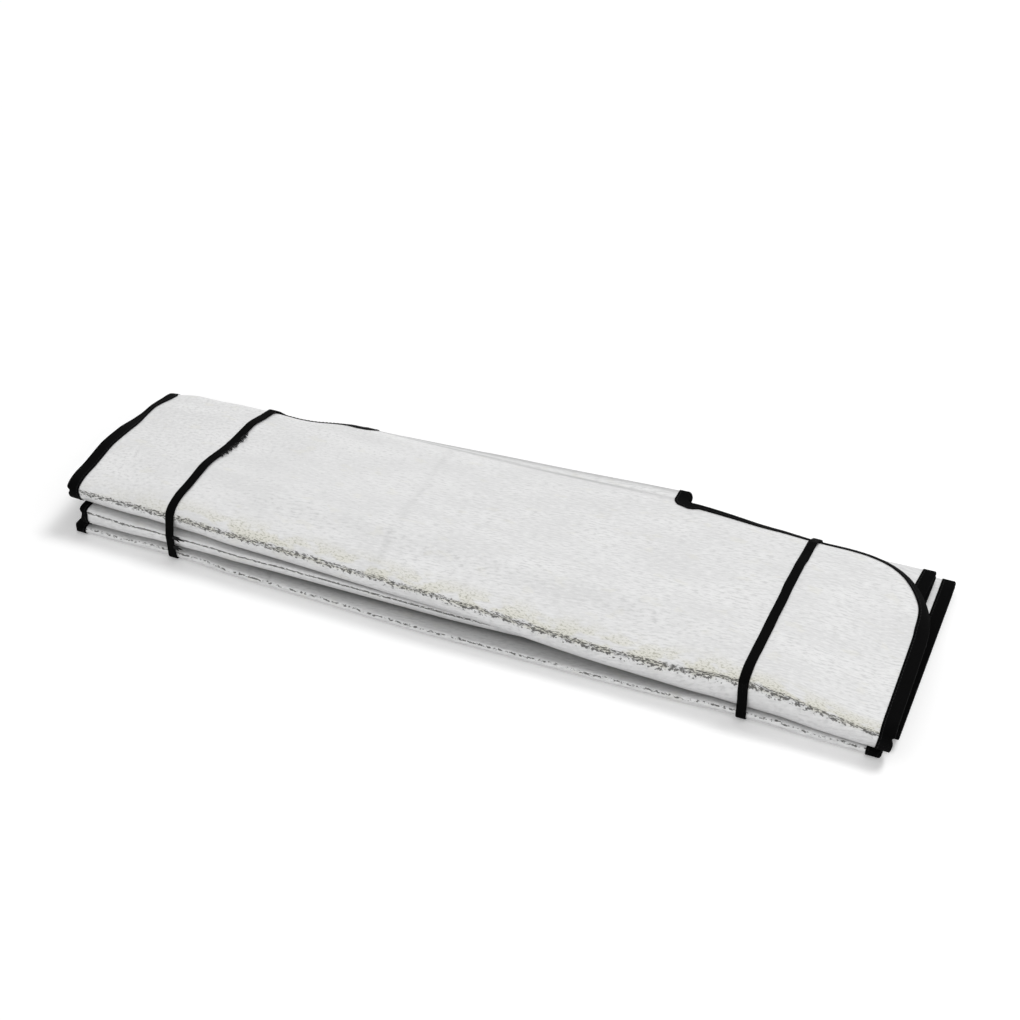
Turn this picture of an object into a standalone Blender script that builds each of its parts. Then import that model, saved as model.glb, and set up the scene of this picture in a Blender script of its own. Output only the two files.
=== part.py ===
"""A windscreen cover, folded up for storage.

The cover is one sheet of foil-faced foam with a door flap on each side. It is folded to and fro
into six leaves, its cut edge is bound all round with one tape, and two elastic straps hold the
bundle shut. The sheet is drawn flat as a net, and one function folds that net: the sheet, its
binding and its straps all read it, so they follow each other.

Flat coordinates: `along` runs the length of the bundle, `across` runs over the leaves, from the
top leaf's free side at 0 to the bottom leaf's free side. The flaps lie outside those two sides.
"""

import math

import bmesh
import bpy
import numpy as np

MM = 0.001

# The sheet.
COVER_HEIGHT = 700 * MM  # the cover's height on the glass, which is the bundle's length
LEAF_DEPTH = 205 * MM  # from one fold line to the next
SHEET_THICKNESS = 2.0 * MM
CORNER_ALONG = 72 * MM  # the rounded corners at the right end, along the bundle
CORNER_ACROSS = 92 * MM  # and across it

# The two door flaps, one on each free side, folded in under their own leaf.
FLAP_WIDTH = 295 * MM
FLAP_LENGTH = 150 * MM
FLAP_CENTRE = -17 * MM
FLAP_CORNER_RADIUS = 30 * MM
FLAP_ROOT_RADIUS = 3 * MM
TOP_FLAP_LOOP = 5.0 * MM  # height of the rounded fold near the top flap's root
TOP_FLAP_FOLD = (4 * MM, 14 * MM)  # how far out that fold lies, at its left and right side
BOTTOM_FLAP_FOLD = (4 * MM, 4 * MM)
FLAP_EASE = 50 * MM  # how far round a flap the leaves above it come down again

# The edge binding, a tape folded over the cut edge.
BINDING_WIDTH = 11 * MM
BINDING_TAPE = 0.4 * MM
SEWN_GAP = 0.3 * MM  # between the sheet and the tape
LAYER_GAP = 0.3 * MM  # between two bound layers that lie on each other

# The elastic straps, seen from the front.
STRAP_FROM_LEFT_END = 97 * MM
STRAP_FROM_RIGHT_END = 107 * MM
STRAP_LEFT = STRAP_FROM_LEFT_END - COVER_HEIGHT / 2
STRAP_RIGHT = COVER_HEIGHT / 2 - STRAP_FROM_RIGHT_END
STRAP_WIDTH = 8 * MM
STRAP_THICKNESS = 1.0 * MM
STRAP_GAP = 0.4 * MM
STRAP_SLACK = 0.06 * MM  # how far its facets may stray from its true path
STRAP_FACET = 15 * MM  # the longest facet

# Stations along the bundle: left end, left strap, flap's left side, its middle, its right side,
# right strap and right end. Each row of lofts and drifts below has one value for each of them.
STATIONS = np.array(
    (
        -COVER_HEIGHT / 2,
        STRAP_LEFT,
        FLAP_CENTRE - FLAP_WIDTH / 2,
        FLAP_CENTRE,
        FLAP_CENTRE + FLAP_WIDTH / 2,
        STRAP_RIGHT,
        COVER_HEIGHT / 2,
    )
)

# Loft: how far a leaf springs up above where it would lie if the bundle were pressed flat.
# The top leaf's lofts are given along lines at these shares of its depth from the front.
TOP_LINES = (0.14, 0.30, 0.55, 0.67, 0.84, 1.0)
TOP_LOFTS = (
    (28.5, 31.2, 30.8, 26.3, 20.8, 22.8, 11.5),
    (31.5, 33.6, 29.0, 22.0, 18.0, 21.3, 11.0),
    (26.5, 26.5, 20.0, 13.1, 12.1, 21.0, 9.5),
    (24.5, 26.5, 18.5, 11.0, 11.1, 20.0, 9.0),
    (20.0, 21.5, 14.0, 7.5, 8.0, 14.5, 8.5),
    (13.0, 16.0, 6.5, 0.6, 4.5, 7.0, 7.0),
)
# The top leaf's free side rolls down by this much, over this width of the leaf.
ROLL_DROPS = (9.0, 13.0, 4.0, 0.0, 1.0, 5.0, 7.5)
ROLL_WIDTHS = (26.0, 26.0, 26.0, 26.0, 26.0, 20.0, 16.0)
# The leaves under it, second to sixth, at their front folds.
FRONT_LOFTS = (
    (14.7, 11.4, 10.3, 7.2, 5.3, 1.2, 1.2),
    (14.4, 11.1, 10.0, 6.9, 5.0, 1.0, 1.0),
    (2.1, 3.1, 3.4, 1.0, 1.0, 0.9, 0.9),
    (0.8, 0.8, 0.8, 0.8, 0.8, 0.8, 0.8),
    (0.0, 0.0, 0.0, 0.0, 0.0, 0.0, 0.0),
)
# Behind its front fold, each leaf takes this share of the top leaf's loft, pinched at the rear.
LOFT_SHARES = (1.0, 0.6, 0.48, 0.2, 0.06, 0.0)
LOFT_FADE = (1.0, 1.0, 1.0, 1.0, 0.9, 0.55, 0.1)
REAR_PINCH = 0.8
REAR_PINCH_FROM = 0.55  # as a share of the leaf's depth
# Where the second front fold sits back, the second leaf droops in front of it.
LIP_DROOP = (0.0, 0.0, 0.0, 0.0, 8.0, 8.5, 8.2)
LIP_DEPTH = 11 * MM
# The top leaf's left end curls down behind its middle.
END_CURL = 4.5 * MM
END_CURL_LENGTH = 28 * MM
END_CURL_BACK = (90 * MM, 125 * MM)

# Where each line across the bundle lies: the top leaf's free side, the five folds from the top
# down, and the bottom leaf's free side. Front folds are given as millimetres behind the bundle's
# front. The rest are given as millimetres behind a full leaf's depth.
LINE_DRIFTS = (
    (-15.0, -13.0, -11.0, -7.0, -5.0, -4.0, 3.0),
    (4.0, 3.0, 1.0, -2.0, -3.0, -3.0, -7.0),
    (-2.0, -1.0, 0.0, 1.0, 2.0, 2.0, 5.0),
    (0.0, 0.0, 2.0, 5.0, 12.0, 14.0, 13.0),
    (2.0, 3.0, 4.0, 5.0, 7.0, 8.0, 8.0),
    (1.0, 1.0, -3.0, -7.0, -5.0, -2.0, -3.0),
    (-3.0, -3.0, -3.0, -3.0, -3.0, -3.0, -3.0),
)
# The leaves aren't cut or folded quite square: how far each line's ends lie from the square.
LEFT_ENDS = np.array((-8.0, -3.0, 0.0, 9.0, 0.0, 0.0, 0.0)) * MM
RIGHT_ENDS = np.array((2.0, 9.0, -8.0, 9.0, 8.0, 0.0, 0.0)) * MM
RIGHT_WAISTS = np.array((1.0, -8.0, 0.0, 0.0, 0.0, 0.0)) * MM  # halfway along each leaf's end

# Each fold's nose is two quarter ellipses, one towards the leaf above and one towards the leaf
# below: how deep they reach from the fold's tip at most, and how tight the tip may bend.
NOSE_REACH_ABOVE = np.array((26.0, 2.2, 8.0, 2.2, 2.8)) * MM
NOSE_REACH_BELOW = np.array((7.0, 2.2, 6.0, 2.2, 2.8)) * MM
TIGHTEST_BEND = 2.0 * MM
# How high each tip sits between its two leaves, in hundredths.
TIP_HEIGHTS = (
    (65.0, 52.0, 58.0, 69.0, 68.0, 82.0, 78.0),
    (50.0, 50.0, 50.0, 50.0, 50.0, 50.0, 50.0),
    (83.0, 83.0, 80.0, 75.0, 60.0, 50.0, 50.0),
    (50.0, 50.0, 50.0, 50.0, 50.0, 50.0, 50.0),
    (50.0, 50.0, 50.0, 50.0, 50.0, 50.0, 50.0),
)
NOSE_STEPS = ((5, 4), (3, 3), (4, 4), (3, 3), (3, 3))
# The length of sheet that each quarter takes up.
NOSE_SHEET_ABOVE = np.array((31.0, 3.4, 11.0, 3.4, 4.2)) * MM
NOSE_SHEET_BELOW = np.array((15.0, 3.4, 11.0, 3.4, 4.2)) * MM

LEAVES = len(LOFT_SHARES)
SHEET_SPAN = LEAVES * LEAF_DEPTH
HALF_SHEET = SHEET_THICKNESS / 2
BINDING_INSIDE = HALF_SHEET + SEWN_GAP
BINDING_OUTSIDE = BINDING_INSIDE + BINDING_TAPE
PITCH = 2 * BINDING_OUTSIDE + LAYER_GAP
BOTTOM_FLAP_LOOP = PITCH
STRAP_LIFT = STRAP_THICKNESS + STRAP_GAP

CORNER_STEPS = 6
LEAF_STEPS = 5
FLAP_LEAF_STEPS = 4
FLAP_LOOP_STEPS = 6
FLAP_ROOT_STEPS = 5
LIP_STEPS = 4
LEFT_STEPS = 5
FLAP_COLUMNS = 8
RIGHT_STEPS = 6
SLOPE_STEP = 0.05 * MM


def smooth(share):
    """A share from 0 to 1 that starts and ends level."""
    share = np.clip(share, 0, 1)
    return share * share * (3 - 2 * share)


def eased(share):
    """A share from 0 to 1 that starts and ends gently, half straight and half smooth."""
    return 0.5 * np.clip(share, 0, 1) + 0.5 * smooth(share)


def through(places, values, at):
    """The values at the given places, joined without overshoot."""
    places = np.asarray(places)
    values = np.asarray(values, float)
    step = np.clip(np.searchsorted(places, at) - 1, 0, len(places) - 2)
    share = eased((at - places[step]) / (places[step + 1] - places[step]))
    return values[step] + (values[step + 1] - values[step]) * share


def by_station(values, along):
    """A row of millimetres, one for each station, read anywhere along the bundle."""
    return through(STATIONS, values, along) * MM


def top_loft(along, back):
    """The top leaf's loft at a distance behind the bundle's front."""
    share = back / LEAF_DEPTH
    rows = [by_station(row, along) for row in TOP_LOFTS]
    loft = rows[0]
    for front, rear, row, before in zip(TOP_LINES, TOP_LINES[1:], rows[1:], rows):
        loft = loft + (row - before) * eased((share - front) / (rear - front))
    at_end = 1 - eased((along + COVER_HEIGHT / 2) / END_CURL_LENGTH)
    start, full = END_CURL_BACK
    return loft - END_CURL * at_end * eased((back - start) / (full - start))


def roll_drop(along, across):
    """How far the top leaf's free side and rounded corner have rolled down at a flat position."""
    sideways = np.clip(1 + (along - COVER_HEIGHT / 2) / CORNER_ALONG, 0, None)
    inward = np.clip(1 - across / CORNER_ACROSS, 0, None)
    total = np.maximum(sideways**2 + inward**2, 1e-9)
    size = (sideways**2 * CORNER_ALONG + inward**2 * CORNER_ACROSS) / total
    edge_distance = (1 - np.sqrt(total)) * size
    rolled = np.clip(1 - edge_distance / by_station(ROLL_WIDTHS, along), 0, 1.2) ** 2
    return by_station(ROLL_DROPS, along) * rolled * smooth(inward * 1.4)


def flap_cover(along, back):
    """1 over a folded-in flap and 0 well clear of it."""
    beside = np.abs(along - FLAP_CENTRE) - FLAP_WIDTH / 2 - BINDING_WIDTH
    front = LEAF_DEPTH - FLAP_LENGTH
    return (1 - eased(beside / FLAP_EASE)) * eased((back - front / 2) / (front / 3))


def leaf_height(leaf, along, back):
    """Height of a leaf's middle surface above the floor. Leaf 0 is the top one."""
    under = LEAVES - 1 - leaf
    strap = np.maximum(
        1 - np.abs(along - STRAP_LEFT) / FLAP_EASE,
        1 - np.abs(along - STRAP_RIGHT) / FLAP_EASE,
    )
    pressed = BINDING_OUTSIDE + STRAP_LIFT * eased(2 * strap) + under * PITCH
    if leaf < LEAVES - 1:
        pressed = pressed + BOTTOM_FLAP_LOOP * flap_cover(along, back)
    loft = top_loft(along, back)
    if leaf == 0:
        return pressed + TOP_FLAP_LOOP * flap_cover(along, back) + loft
    pinch = eased((back / LEAF_DEPTH - REAR_PINCH_FROM) / (1 - REAR_PINCH_FROM))
    loft = loft * LOFT_SHARES[leaf] * (1 - REAR_PINCH * pinch)
    loft = loft * by_station(LOFT_FADE, along) / MM
    forward = 1 - eased(back / (LEAF_DEPTH / 2))
    loft = loft + (by_station(FRONT_LOFTS[leaf - 1], along) - loft) * forward
    if leaf == 1:
        behind = back - line_back(1, along) - NOSE_REACH_BELOW[0]
        lip = 1 - smooth(behind / LIP_DEPTH)
        loft = loft - by_station(LIP_DROOP, along) * lip
    return pressed + loft


def line_back(line, along):
    """How far behind the bundle's front a free side or a fold's tip lies, line 0 to LEAVES."""
    rear = LEAF_DEPTH if line % 2 == 0 else 0.0
    return rear + by_station(LINE_DRIFTS[line], along)


def nose_shape(fold, along, above):
    """A fold's tip (back, height), and one quarter ellipse's signed reach and rise from it."""
    inward = 1 if fold % 2 == 0 else -1
    tip = line_back(fold + 1, along)
    upper = leaf_height(fold, along, tip + inward * NOSE_REACH_ABOVE[fold] / 2)
    lower = leaf_height(fold + 1, along, tip + inward * NOSE_REACH_BELOW[fold] / 2)
    tip_height = lower + (upper - lower) * by_station(TIP_HEIGHTS[fold], along) / MM / 100
    most = (NOSE_REACH_ABOVE if above else NOSE_REACH_BELOW)[fold]
    rise = (upper if above else lower) - tip_height
    reach = np.minimum(most, rise * rise / TIGHTEST_BEND)
    return tip, tip_height, inward * reach


def nose(fold, along, sheet, above):
    """(back, height) on a fold's quarter ellipse, `sheet` being the length from the fold's tip."""
    length = (NOSE_SHEET_ABOVE if above else NOSE_SHEET_BELOW)[fold]
    tip, tip_height, reach = nose_shape(fold, along, above)
    end = leaf_height(fold if above else fold + 1, along, tip + reach)
    angle = np.clip(sheet / length, 0, 1) * math.pi / 2
    back = tip + reach * (1 - np.cos(angle))
    return back, tip_height + (end - tip_height) * np.sin(angle)


def line_ends(across):
    """How far the sheet's two ends lie from the square, at flat positions across the leaves."""
    lines = np.arange(LEAVES + 1) * LEAF_DEPTH
    leaf = np.clip(np.floor(across / LEAF_DEPTH), 0, LEAVES - 1).astype(int)
    share = np.clip(across / LEAF_DEPTH - leaf, 0, 1)
    waist = RIGHT_WAISTS[leaf] * 4 * share * (1 - share)
    return np.interp(across, lines, LEFT_ENDS), np.interp(across, lines, RIGHT_ENDS) + waist


def placed_along(along, across):
    """Where flat positions along the bundle come to lie."""
    left, right = line_ends(across)
    return along + left + (right - left) * (along / COVER_HEIGHT + 0.5)


def flat_along(place, across):
    """The flat positions that come to lie at a place along the bundle."""
    left, right = line_ends(across)
    return (place - (left + right) / 2) / (1 + (right - left) / COVER_HEIGHT)


def fold_body(along, across):
    """The middle surface's points for flat points on the six leaves."""
    back = np.zeros(np.broadcast(along, across).shape)
    along, across = np.broadcast_arrays(along, across)
    height = np.zeros_like(back)
    for leaf in range(LEAVES):
        start_taken = NOSE_SHEET_BELOW[leaf - 1] if leaf else 0.0
        end_taken = NOSE_SHEET_ABOVE[leaf] if leaf < LEAVES - 1 else 0.0
        local = across - leaf * LEAF_DEPTH
        here = (local >= 0) & (local <= LEAF_DEPTH)
        if leaf == 0:
            here |= local < 0
        if leaf == LEAVES - 1:
            here |= local > LEAF_DEPTH
        start = line_back(leaf, along)
        end = line_back(leaf + 1, along)
        if leaf:
            start = start + nose_shape(leaf - 1, along, above=False)[2]
        if leaf < LEAVES - 1:
            end = end + nose_shape(leaf, along, above=True)[2]
        share = (local - start_taken) / (LEAF_DEPTH - start_taken - end_taken)
        flat_back = start + (end - start) * share
        flat_height = leaf_height(leaf, along, flat_back)
        if leaf:
            nose_back, nose_height = nose(leaf - 1, along, local, above=False)
            flat_back = np.where(local < start_taken, nose_back, flat_back)
            flat_height = np.where(local < start_taken, nose_height, flat_height)
        if leaf < LEAVES - 1:
            left = LEAF_DEPTH - local
            nose_back, nose_height = nose(leaf, along, left, above=True)
            flat_back = np.where(left < end_taken, nose_back, flat_back)
            flat_height = np.where(left < end_taken, nose_height, flat_height)
        if leaf == 0:
            flat_height = flat_height - roll_drop(along, across)
        back = np.where(here, flat_back, back)
        height = np.where(here, flat_height, height)
    return np.stack((placed_along(along, across), back, height), axis=-1)


def unit(vectors):
    return vectors / np.linalg.norm(vectors, axis=-1, keepdims=True)


def slopes(surface, along, across):
    """Unit vectors along and across a folded surface, and its normal, up on the top leaf."""
    step = SLOPE_STEP
    lengthwise = unit(surface(along + step, across) - surface(along - step, across))
    crosswise = unit(surface(along, across + step) - surface(along, across - step))
    return lengthwise, crosswise, unit(np.cross(crosswise, lengthwise))


def flap_turn(fold_out, along):
    """How far beyond its leaf's free side a flap is folded under."""
    left, right = fold_out
    return left + (right - left) * np.clip((along - FLAP_CENTRE) / FLAP_WIDTH + 0.5, 0, 1)


def fold(along, across):
    """The folded place of any flat point of the sheet, flaps included."""
    along, across = np.broadcast_arrays(along, across)
    points = fold_body(along, across)
    for side, edge, loop, fold_out in (
        (-1, 0.0, TOP_FLAP_LOOP, TOP_FLAP_FOLD),
        (1, SHEET_SPAN, BOTTOM_FLAP_LOOP, BOTTOM_FLAP_FOLD),
    ):
        turn = edge + side * flap_turn(fold_out, along)
        beyond = side * (across - turn)
        turned = math.pi * loop / 2
        _, outward, normal = slopes(fold_body, along, turn)
        angle = np.clip(beyond / (loop / 2), 0, math.pi)[..., None]
        looped = fold_body(along, turn) + loop / 2 * (
            side * outward * np.sin(angle) - normal * (1 - np.cos(angle))
        )
        mirrored = turn - side * np.maximum(beyond - turned, 0)
        _, _, over = slopes(fold_body, along, mirrored)
        tucked = fold_body(along, mirrored) - over * loop
        points = np.where((beyond > 0)[..., None], looped, points)
        points = np.where((beyond > turned)[..., None], tucked, points)
    return points


def corner_inset(distance, along, across):
    """How far a rounded corner pulls the edge in, at a distance from where the rounding ends."""
    share = np.clip(distance / across, 0, 1)
    return along * (1 - np.sqrt(1 - share * share))


def body_rows():
    """Flat positions across the leaves of the net's rows, inside the binding."""
    turn = np.linspace(0, math.pi / 2, CORNER_STEPS + 1)
    inner = CORNER_ACROSS - BINDING_WIDTH
    first = list(CORNER_ACROSS - inner * np.cos(turn))
    rows = list(first)
    for leaf in range(LEAVES):
        start = leaf * LEAF_DEPTH + (NOSE_SHEET_BELOW[leaf - 1] if leaf else 0.0)
        end = (leaf + 1) * LEAF_DEPTH
        if leaf < LEAVES - 1:
            end -= NOSE_SHEET_ABOVE[leaf]
        if leaf == 0:
            start = CORNER_ACROSS
        if leaf == LEAVES - 1:
            end = SHEET_SPAN - CORNER_ACROSS
        if leaf == 1:
            rows += list(np.linspace(start, start + LIP_DEPTH, LIP_STEPS + 1)[1:])
            start += LIP_DEPTH
        rows += list(np.linspace(start, end, LEAF_STEPS + 1)[1:])
        if leaf < LEAVES - 1:
            steps_above, steps_below = NOSE_STEPS[leaf]
            tip = (leaf + 1) * LEAF_DEPTH
            rows += list(np.linspace(end, tip, steps_above + 1)[1:])
            below = tip + NOSE_SHEET_BELOW[leaf]
            rows += list(np.linspace(tip, below, steps_below + 1)[1:])
    rows += [SHEET_SPAN - row for row in reversed(first[:-1])]
    return np.array(rows)


def flap_rows(loop, turn):
    """Distances of a flap's net rows beyond its leaf's free side, given where it turns."""
    turned = turn + math.pi * loop / 2
    corner = FLAP_LENGTH - FLAP_CORNER_RADIUS
    root = np.linspace(-BINDING_WIDTH, turn, FLAP_ROOT_STEPS + 1)[1:]
    looped = np.linspace(turn, turned, FLAP_LOOP_STEPS + 1)[1:]
    leaf = np.linspace(turned, corner, FLAP_LEAF_STEPS + 1)[1:]
    turn = np.linspace(0, math.pi / 2, CORNER_STEPS + 1)[1:]
    rounded = corner + (FLAP_CORNER_RADIUS - BINDING_WIDTH) * np.sin(turn)
    return np.concatenate((root, looped, leaf, rounded))


def flap_half_width(beyond):
    """Half the flap's net at a distance beyond the free side, inside the binding."""
    inner = FLAP_WIDTH / 2 - BINDING_WIDTH
    root = FLAP_ROOT_RADIUS + BINDING_WIDTH
    from_centre = np.clip(FLAP_ROOT_RADIUS - beyond, 0, root)
    flare = corner_inset(from_centre, root, root)
    corner = FLAP_CORNER_RADIUS - BINDING_WIDTH
    past = np.clip(beyond - (FLAP_LENGTH - FLAP_CORNER_RADIUS), 0, corner)
    return inner + flare - corner_inset(past, corner, corner)


def flat_net():
    """The flat net inside the binding: its points (along, across) and its four-sided faces."""
    end = COVER_HEIGHT / 2 - BINDING_WIDTH
    root = float(flap_half_width(np.array(-BINDING_WIDTH)))
    flap_left = FLAP_CENTRE - root
    flap_right = FLAP_CENTRE + root
    columns = np.concatenate(
        (
            np.linspace(-end, flap_left, LEFT_STEPS + 1)[:-1],
            np.linspace(flap_left, flap_right, FLAP_COLUMNS + 1)[:-1],
            np.linspace(flap_right, end, RIGHT_STEPS + 1),
        )
    )
    rows = body_rows()
    from_side = np.minimum(rows, SHEET_SPAN - rows)
    inner_along = CORNER_ALONG - BINDING_WIDTH
    inner_across = CORNER_ACROSS - BINDING_WIDTH
    right = end - corner_inset(CORNER_ACROSS - from_side, inner_along, inner_across)
    stretch = np.clip((columns - flap_right) / (end - flap_right), 0, None)
    along = columns + stretch * (right - end)[:, None]
    points = np.stack((along, np.broadcast_to(rows[:, None], along.shape)), axis=-1)
    points = list(map(tuple, points.reshape(-1, 2)))
    wide = len(columns)
    faces = [
        (row * wide + col, row * wide + col + 1, row * wide + wide + col + 1, row * wide + wide + col)
        for row in range(len(rows) - 1)
        for col in range(wide - 1)
    ]
    for side, loop, fold_out in (
        (-1, TOP_FLAP_LOOP, TOP_FLAP_FOLD),
        (1, BOTTOM_FLAP_LOOP, BOTTOM_FLAP_FOLD),
    ):
        shares = np.linspace(-1, 1, FLAP_COLUMNS + 1)
        turns = flap_turn(fold_out, FLAP_CENTRE + shares * FLAP_WIDTH / 2)
        beyond = np.stack([flap_rows(loop, turn) for turn in turns], axis=-1)
        across = -beyond if side < 0 else SHEET_SPAN + beyond
        along = FLAP_CENTRE + shares * flap_half_width(beyond)
        last_row = 0 if side < 0 else (len(rows) - 1) * wide
        previous = [last_row + LEFT_STEPS + n for n in range(FLAP_COLUMNS + 1)]
        for along_row, across_row in zip(along, across):
            row = list(range(len(points), len(points) + FLAP_COLUMNS + 1))
            points += list(zip(along_row, across_row))
            for n in range(FLAP_COLUMNS):
                corners = (previous[n], row[n], row[n + 1], previous[n + 1])
                faces.append(corners if side < 0 else corners[::-1])
            previous = row
    return np.array(points), faces


def outline_of(faces):
    """The net's outer points in order round its edge, with the net on their left."""
    directed = {(a, b) for face in faces for a, b in zip(face, face[1:] + face[:1])}
    following = {a: b for a, b in directed if (b, a) not in directed}
    start = min(following)
    loop = [start]
    while following[loop[-1]] != start:
        loop.append(following[loop[-1]])
    return loop


def mitres(points):
    """Outward vectors, one unit square to each side, at the corners of a closed flat loop."""
    ahead = unit(np.roll(points, -1, axis=0) - points)
    outward = np.stack((ahead[:, 1], -ahead[:, 0]), axis=-1)
    before = np.roll(outward, 1, axis=0)
    return (outward + before) / (1 + (outward * before).sum(axis=-1, keepdims=True))


def material(name, colour, metallic, roughness):
    made = bpy.data.materials.new(name)
    made.use_nodes = True
    shader = made.node_tree.nodes["Principled BSDF"]
    shader.inputs["Base Color"].default_value = (*colour, 1)
    shader.inputs["Metallic"].default_value = metallic
    shader.inputs["Roughness"].default_value = roughness
    return made


def mesh_object(name, points, faces, made_of):
    mesh = bpy.data.meshes.new(name)
    mesh.from_pydata([tuple(p) for p in points], [], faces)
    mesh.materials.append(made_of)
    edit = bmesh.new()
    edit.from_mesh(mesh)
    bmesh.ops.recalc_face_normals(edit, faces=edit.faces)
    edit.to_mesh(mesh)
    edit.free()
    mesh.shade_smooth()
    mesh.set_sharp_from_angle(angle=math.radians(40))
    made = bpy.data.objects.new(name, mesh)
    bpy.context.scene.collection.objects.link(made)
    return made


def thicken(made, thickness):
    """Gives a surface its wall, half on each side."""
    wall = made.modifiers.new("Wall", "SOLIDIFY")
    wall.thickness = thickness
    wall.offset = 0
    wall.use_even_offset = True
    return made


def foil_sheet(points, faces, loop, made_of):
    """The whole sheet: the net and a border as wide as the binding, folded and thickened."""
    border = points[loop] + mitres(points[loop]) * BINDING_WIDTH
    first = len(points)
    count = len(loop)
    ring = []
    for n in range(count):
        after = (n + 1) % count
        ring.append((loop[n], first + n, first + after))
        ring.append((loop[n], first + after, loop[after]))
    flat = np.concatenate((points, border))
    folded = fold(flat[:, 0], flat[:, 1])
    return thicken(mesh_object("foil_sheet", folded, faces + ring, made_of), SHEET_THICKNESS)


def edge_binding(points, loop, made_of):
    """The tape round the cut edge: a U section carried round the folded outline."""
    inner = points[loop]
    outer = inner + mitres(inner) * BINDING_WIDTH
    inner_place = fold(inner[:, 0], inner[:, 1])
    outer_place = fold(outer[:, 0], outer[:, 1])
    _, _, inner_normal = slopes(fold, inner[:, 0], inner[:, 1])
    inside = outer - mitres(inner) * SLOPE_STEP
    lengthwise, crosswise, outer_normal = slopes(fold, inside[:, 0], inside[:, 1])
    away = mitres(inner)
    outward = away[:, :1] * lengthwise + away[:, 1:] * crosswise
    beyond_inside = outer_place + outward * SEWN_GAP
    beyond_outside = outer_place + outward * (SEWN_GAP + BINDING_TAPE)
    section = (
        inner_place + inner_normal * BINDING_OUTSIDE,
        beyond_outside + outer_normal * BINDING_OUTSIDE,
        beyond_outside - outer_normal * BINDING_OUTSIDE,
        inner_place - inner_normal * BINDING_OUTSIDE,
        inner_place - inner_normal * BINDING_INSIDE,
        beyond_inside - outer_normal * BINDING_INSIDE,
        beyond_inside + outer_normal * BINDING_INSIDE,
        inner_place + inner_normal * BINDING_INSIDE,
    )
    count = len(loop)
    sides = len(section)
    faces = []
    for side in range(sides):
        here = side * count
        there = (side + 1) % sides * count
        for n in range(count):
            after = (n + 1) % count
            a, b, c, d = here + n, here + after, there + after, there + n
            if side in (2, 6):
                faces += [(a, b, d), (b, c, d)]
            else:
                faces += [(a, b, c), (a, c, d)]
    return mesh_object("edge_binding", np.concatenate(section), faces, made_of)


def hull(points):
    """The convex hull of flat points, as a list in order."""
    ordered = sorted(map(tuple, points))
    halves = []
    for half in (ordered, ordered[::-1]):
        chain = []
        for p in half:
            while len(chain) > 1 and (
                (chain[-1][0] - chain[-2][0]) * (p[1] - chain[-2][1])
                - (chain[-1][1] - chain[-2][1]) * (p[0] - chain[-2][0])
            ) <= 0:
                chain.pop()
            chain.append(p)
        halves += chain[:-1]
    return np.array(halves)


def simplified(loop):
    """The fewest of a dense loop's points whose chords stay within the strap's slack."""
    kept = [0]
    end = 1
    while end < len(loop):
        start = loop[kept[-1]]
        chord = loop[end] - start
        length = np.linalg.norm(chord)
        between = loop[kept[-1] + 1 : end] - start
        stray = np.abs(between[:, 0] * chord[1] - between[:, 1] * chord[0]) / length
        if length > STRAP_FACET or (stray > STRAP_SLACK).any():
            kept.append(end - 1)
        else:
            end += 1
    return loop[kept]


def strap_path(place):
    """A taut loop round the bundle at a place along it, lying in the top leaf's hollows."""
    across = np.linspace(0, SHEET_SPAN, 3000)
    sides = np.minimum(across, SHEET_SPAN - across)
    bound = math.hypot(BINDING_OUTSIDE, SEWN_GAP + BINDING_TAPE)
    lift = np.where(sides < 1.5 * BINDING_WIDTH, bound, HALF_SHEET)
    reach = np.tile(lift + STRAP_GAP + STRAP_THICKNESS / 2, 3)
    top = np.tile(across < LEAF_DEPTH, 3)
    outline = np.concatenate(
        [
            fold_body(flat_along(place + side * STRAP_WIDTH / 2, across), across)[:, 1:]
            for side in (-1, 0, 1)
        ]
    )
    turn = np.linspace(0, 2 * math.pi, 33)[:-1]
    circle = np.stack((np.cos(turn), np.sin(turn)), axis=-1)
    around = (outline[:, None] + reach[:, None, None] * circle).reshape(-1, 2)
    around[:, 1] = np.maximum(around[:, 1], STRAP_THICKNESS / 2)
    corners = hull(around)
    closed = np.concatenate((corners, corners[:1]))
    run = np.concatenate(([0], np.cumsum(np.linalg.norm(np.diff(closed, axis=0), axis=1))))
    at = np.linspace(0, run[-1], 900)[:-1]
    loop = np.stack([np.interp(at, run, closed[:, n]) for n in (0, 1)], axis=-1)
    apart = loop[:, None, 0] - outline[top, 0]
    within = np.clip(reach[top] ** 2 - apart * apart, 0, None)
    lying = np.where(within > 0, outline[top, 1] + np.sqrt(within), 0).max(axis=1)
    _, first_tip, _ = nose_shape(0, np.array(place), above=True)
    over = (loop[:, 1] > first_tip) & (loop[:, 0] < line_back(0, place)) & (lying > 0)
    loop[over, 1] = np.minimum(loop[over, 1], lying[over])
    return simplified(loop)


def elastic_strap(name, place, made_of):
    """A closed flat band, its ribbon drawn as an extruded loop and thickened both ways."""
    loop = strap_path(place)
    count = len(loop)
    points = [
        (place + side * STRAP_WIDTH / 2, back, height)
        for side in (-1, 1)
        for back, height in loop
    ]
    faces = [(n, (n + 1) % count, count + (n + 1) % count, count + n) for n in range(count)]
    return thicken(mesh_object(name, points, faces, made_of), STRAP_THICKNESS)


def centre_on_floor(made):
    """Moves the bundle so that its box is centred over the origin and its base is at zero."""
    graph = bpy.context.evaluated_depsgraph_get()
    boxes = np.array([[tuple(c) for c in o.evaluated_get(graph).bound_box] for o in made])
    low = boxes.min(axis=(0, 1))
    high = boxes.max(axis=(0, 1))
    for o in made:
        o.location = (-(low[0] + high[0]) / 2, -(low[1] + high[1]) / 2, -low[2])


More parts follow.
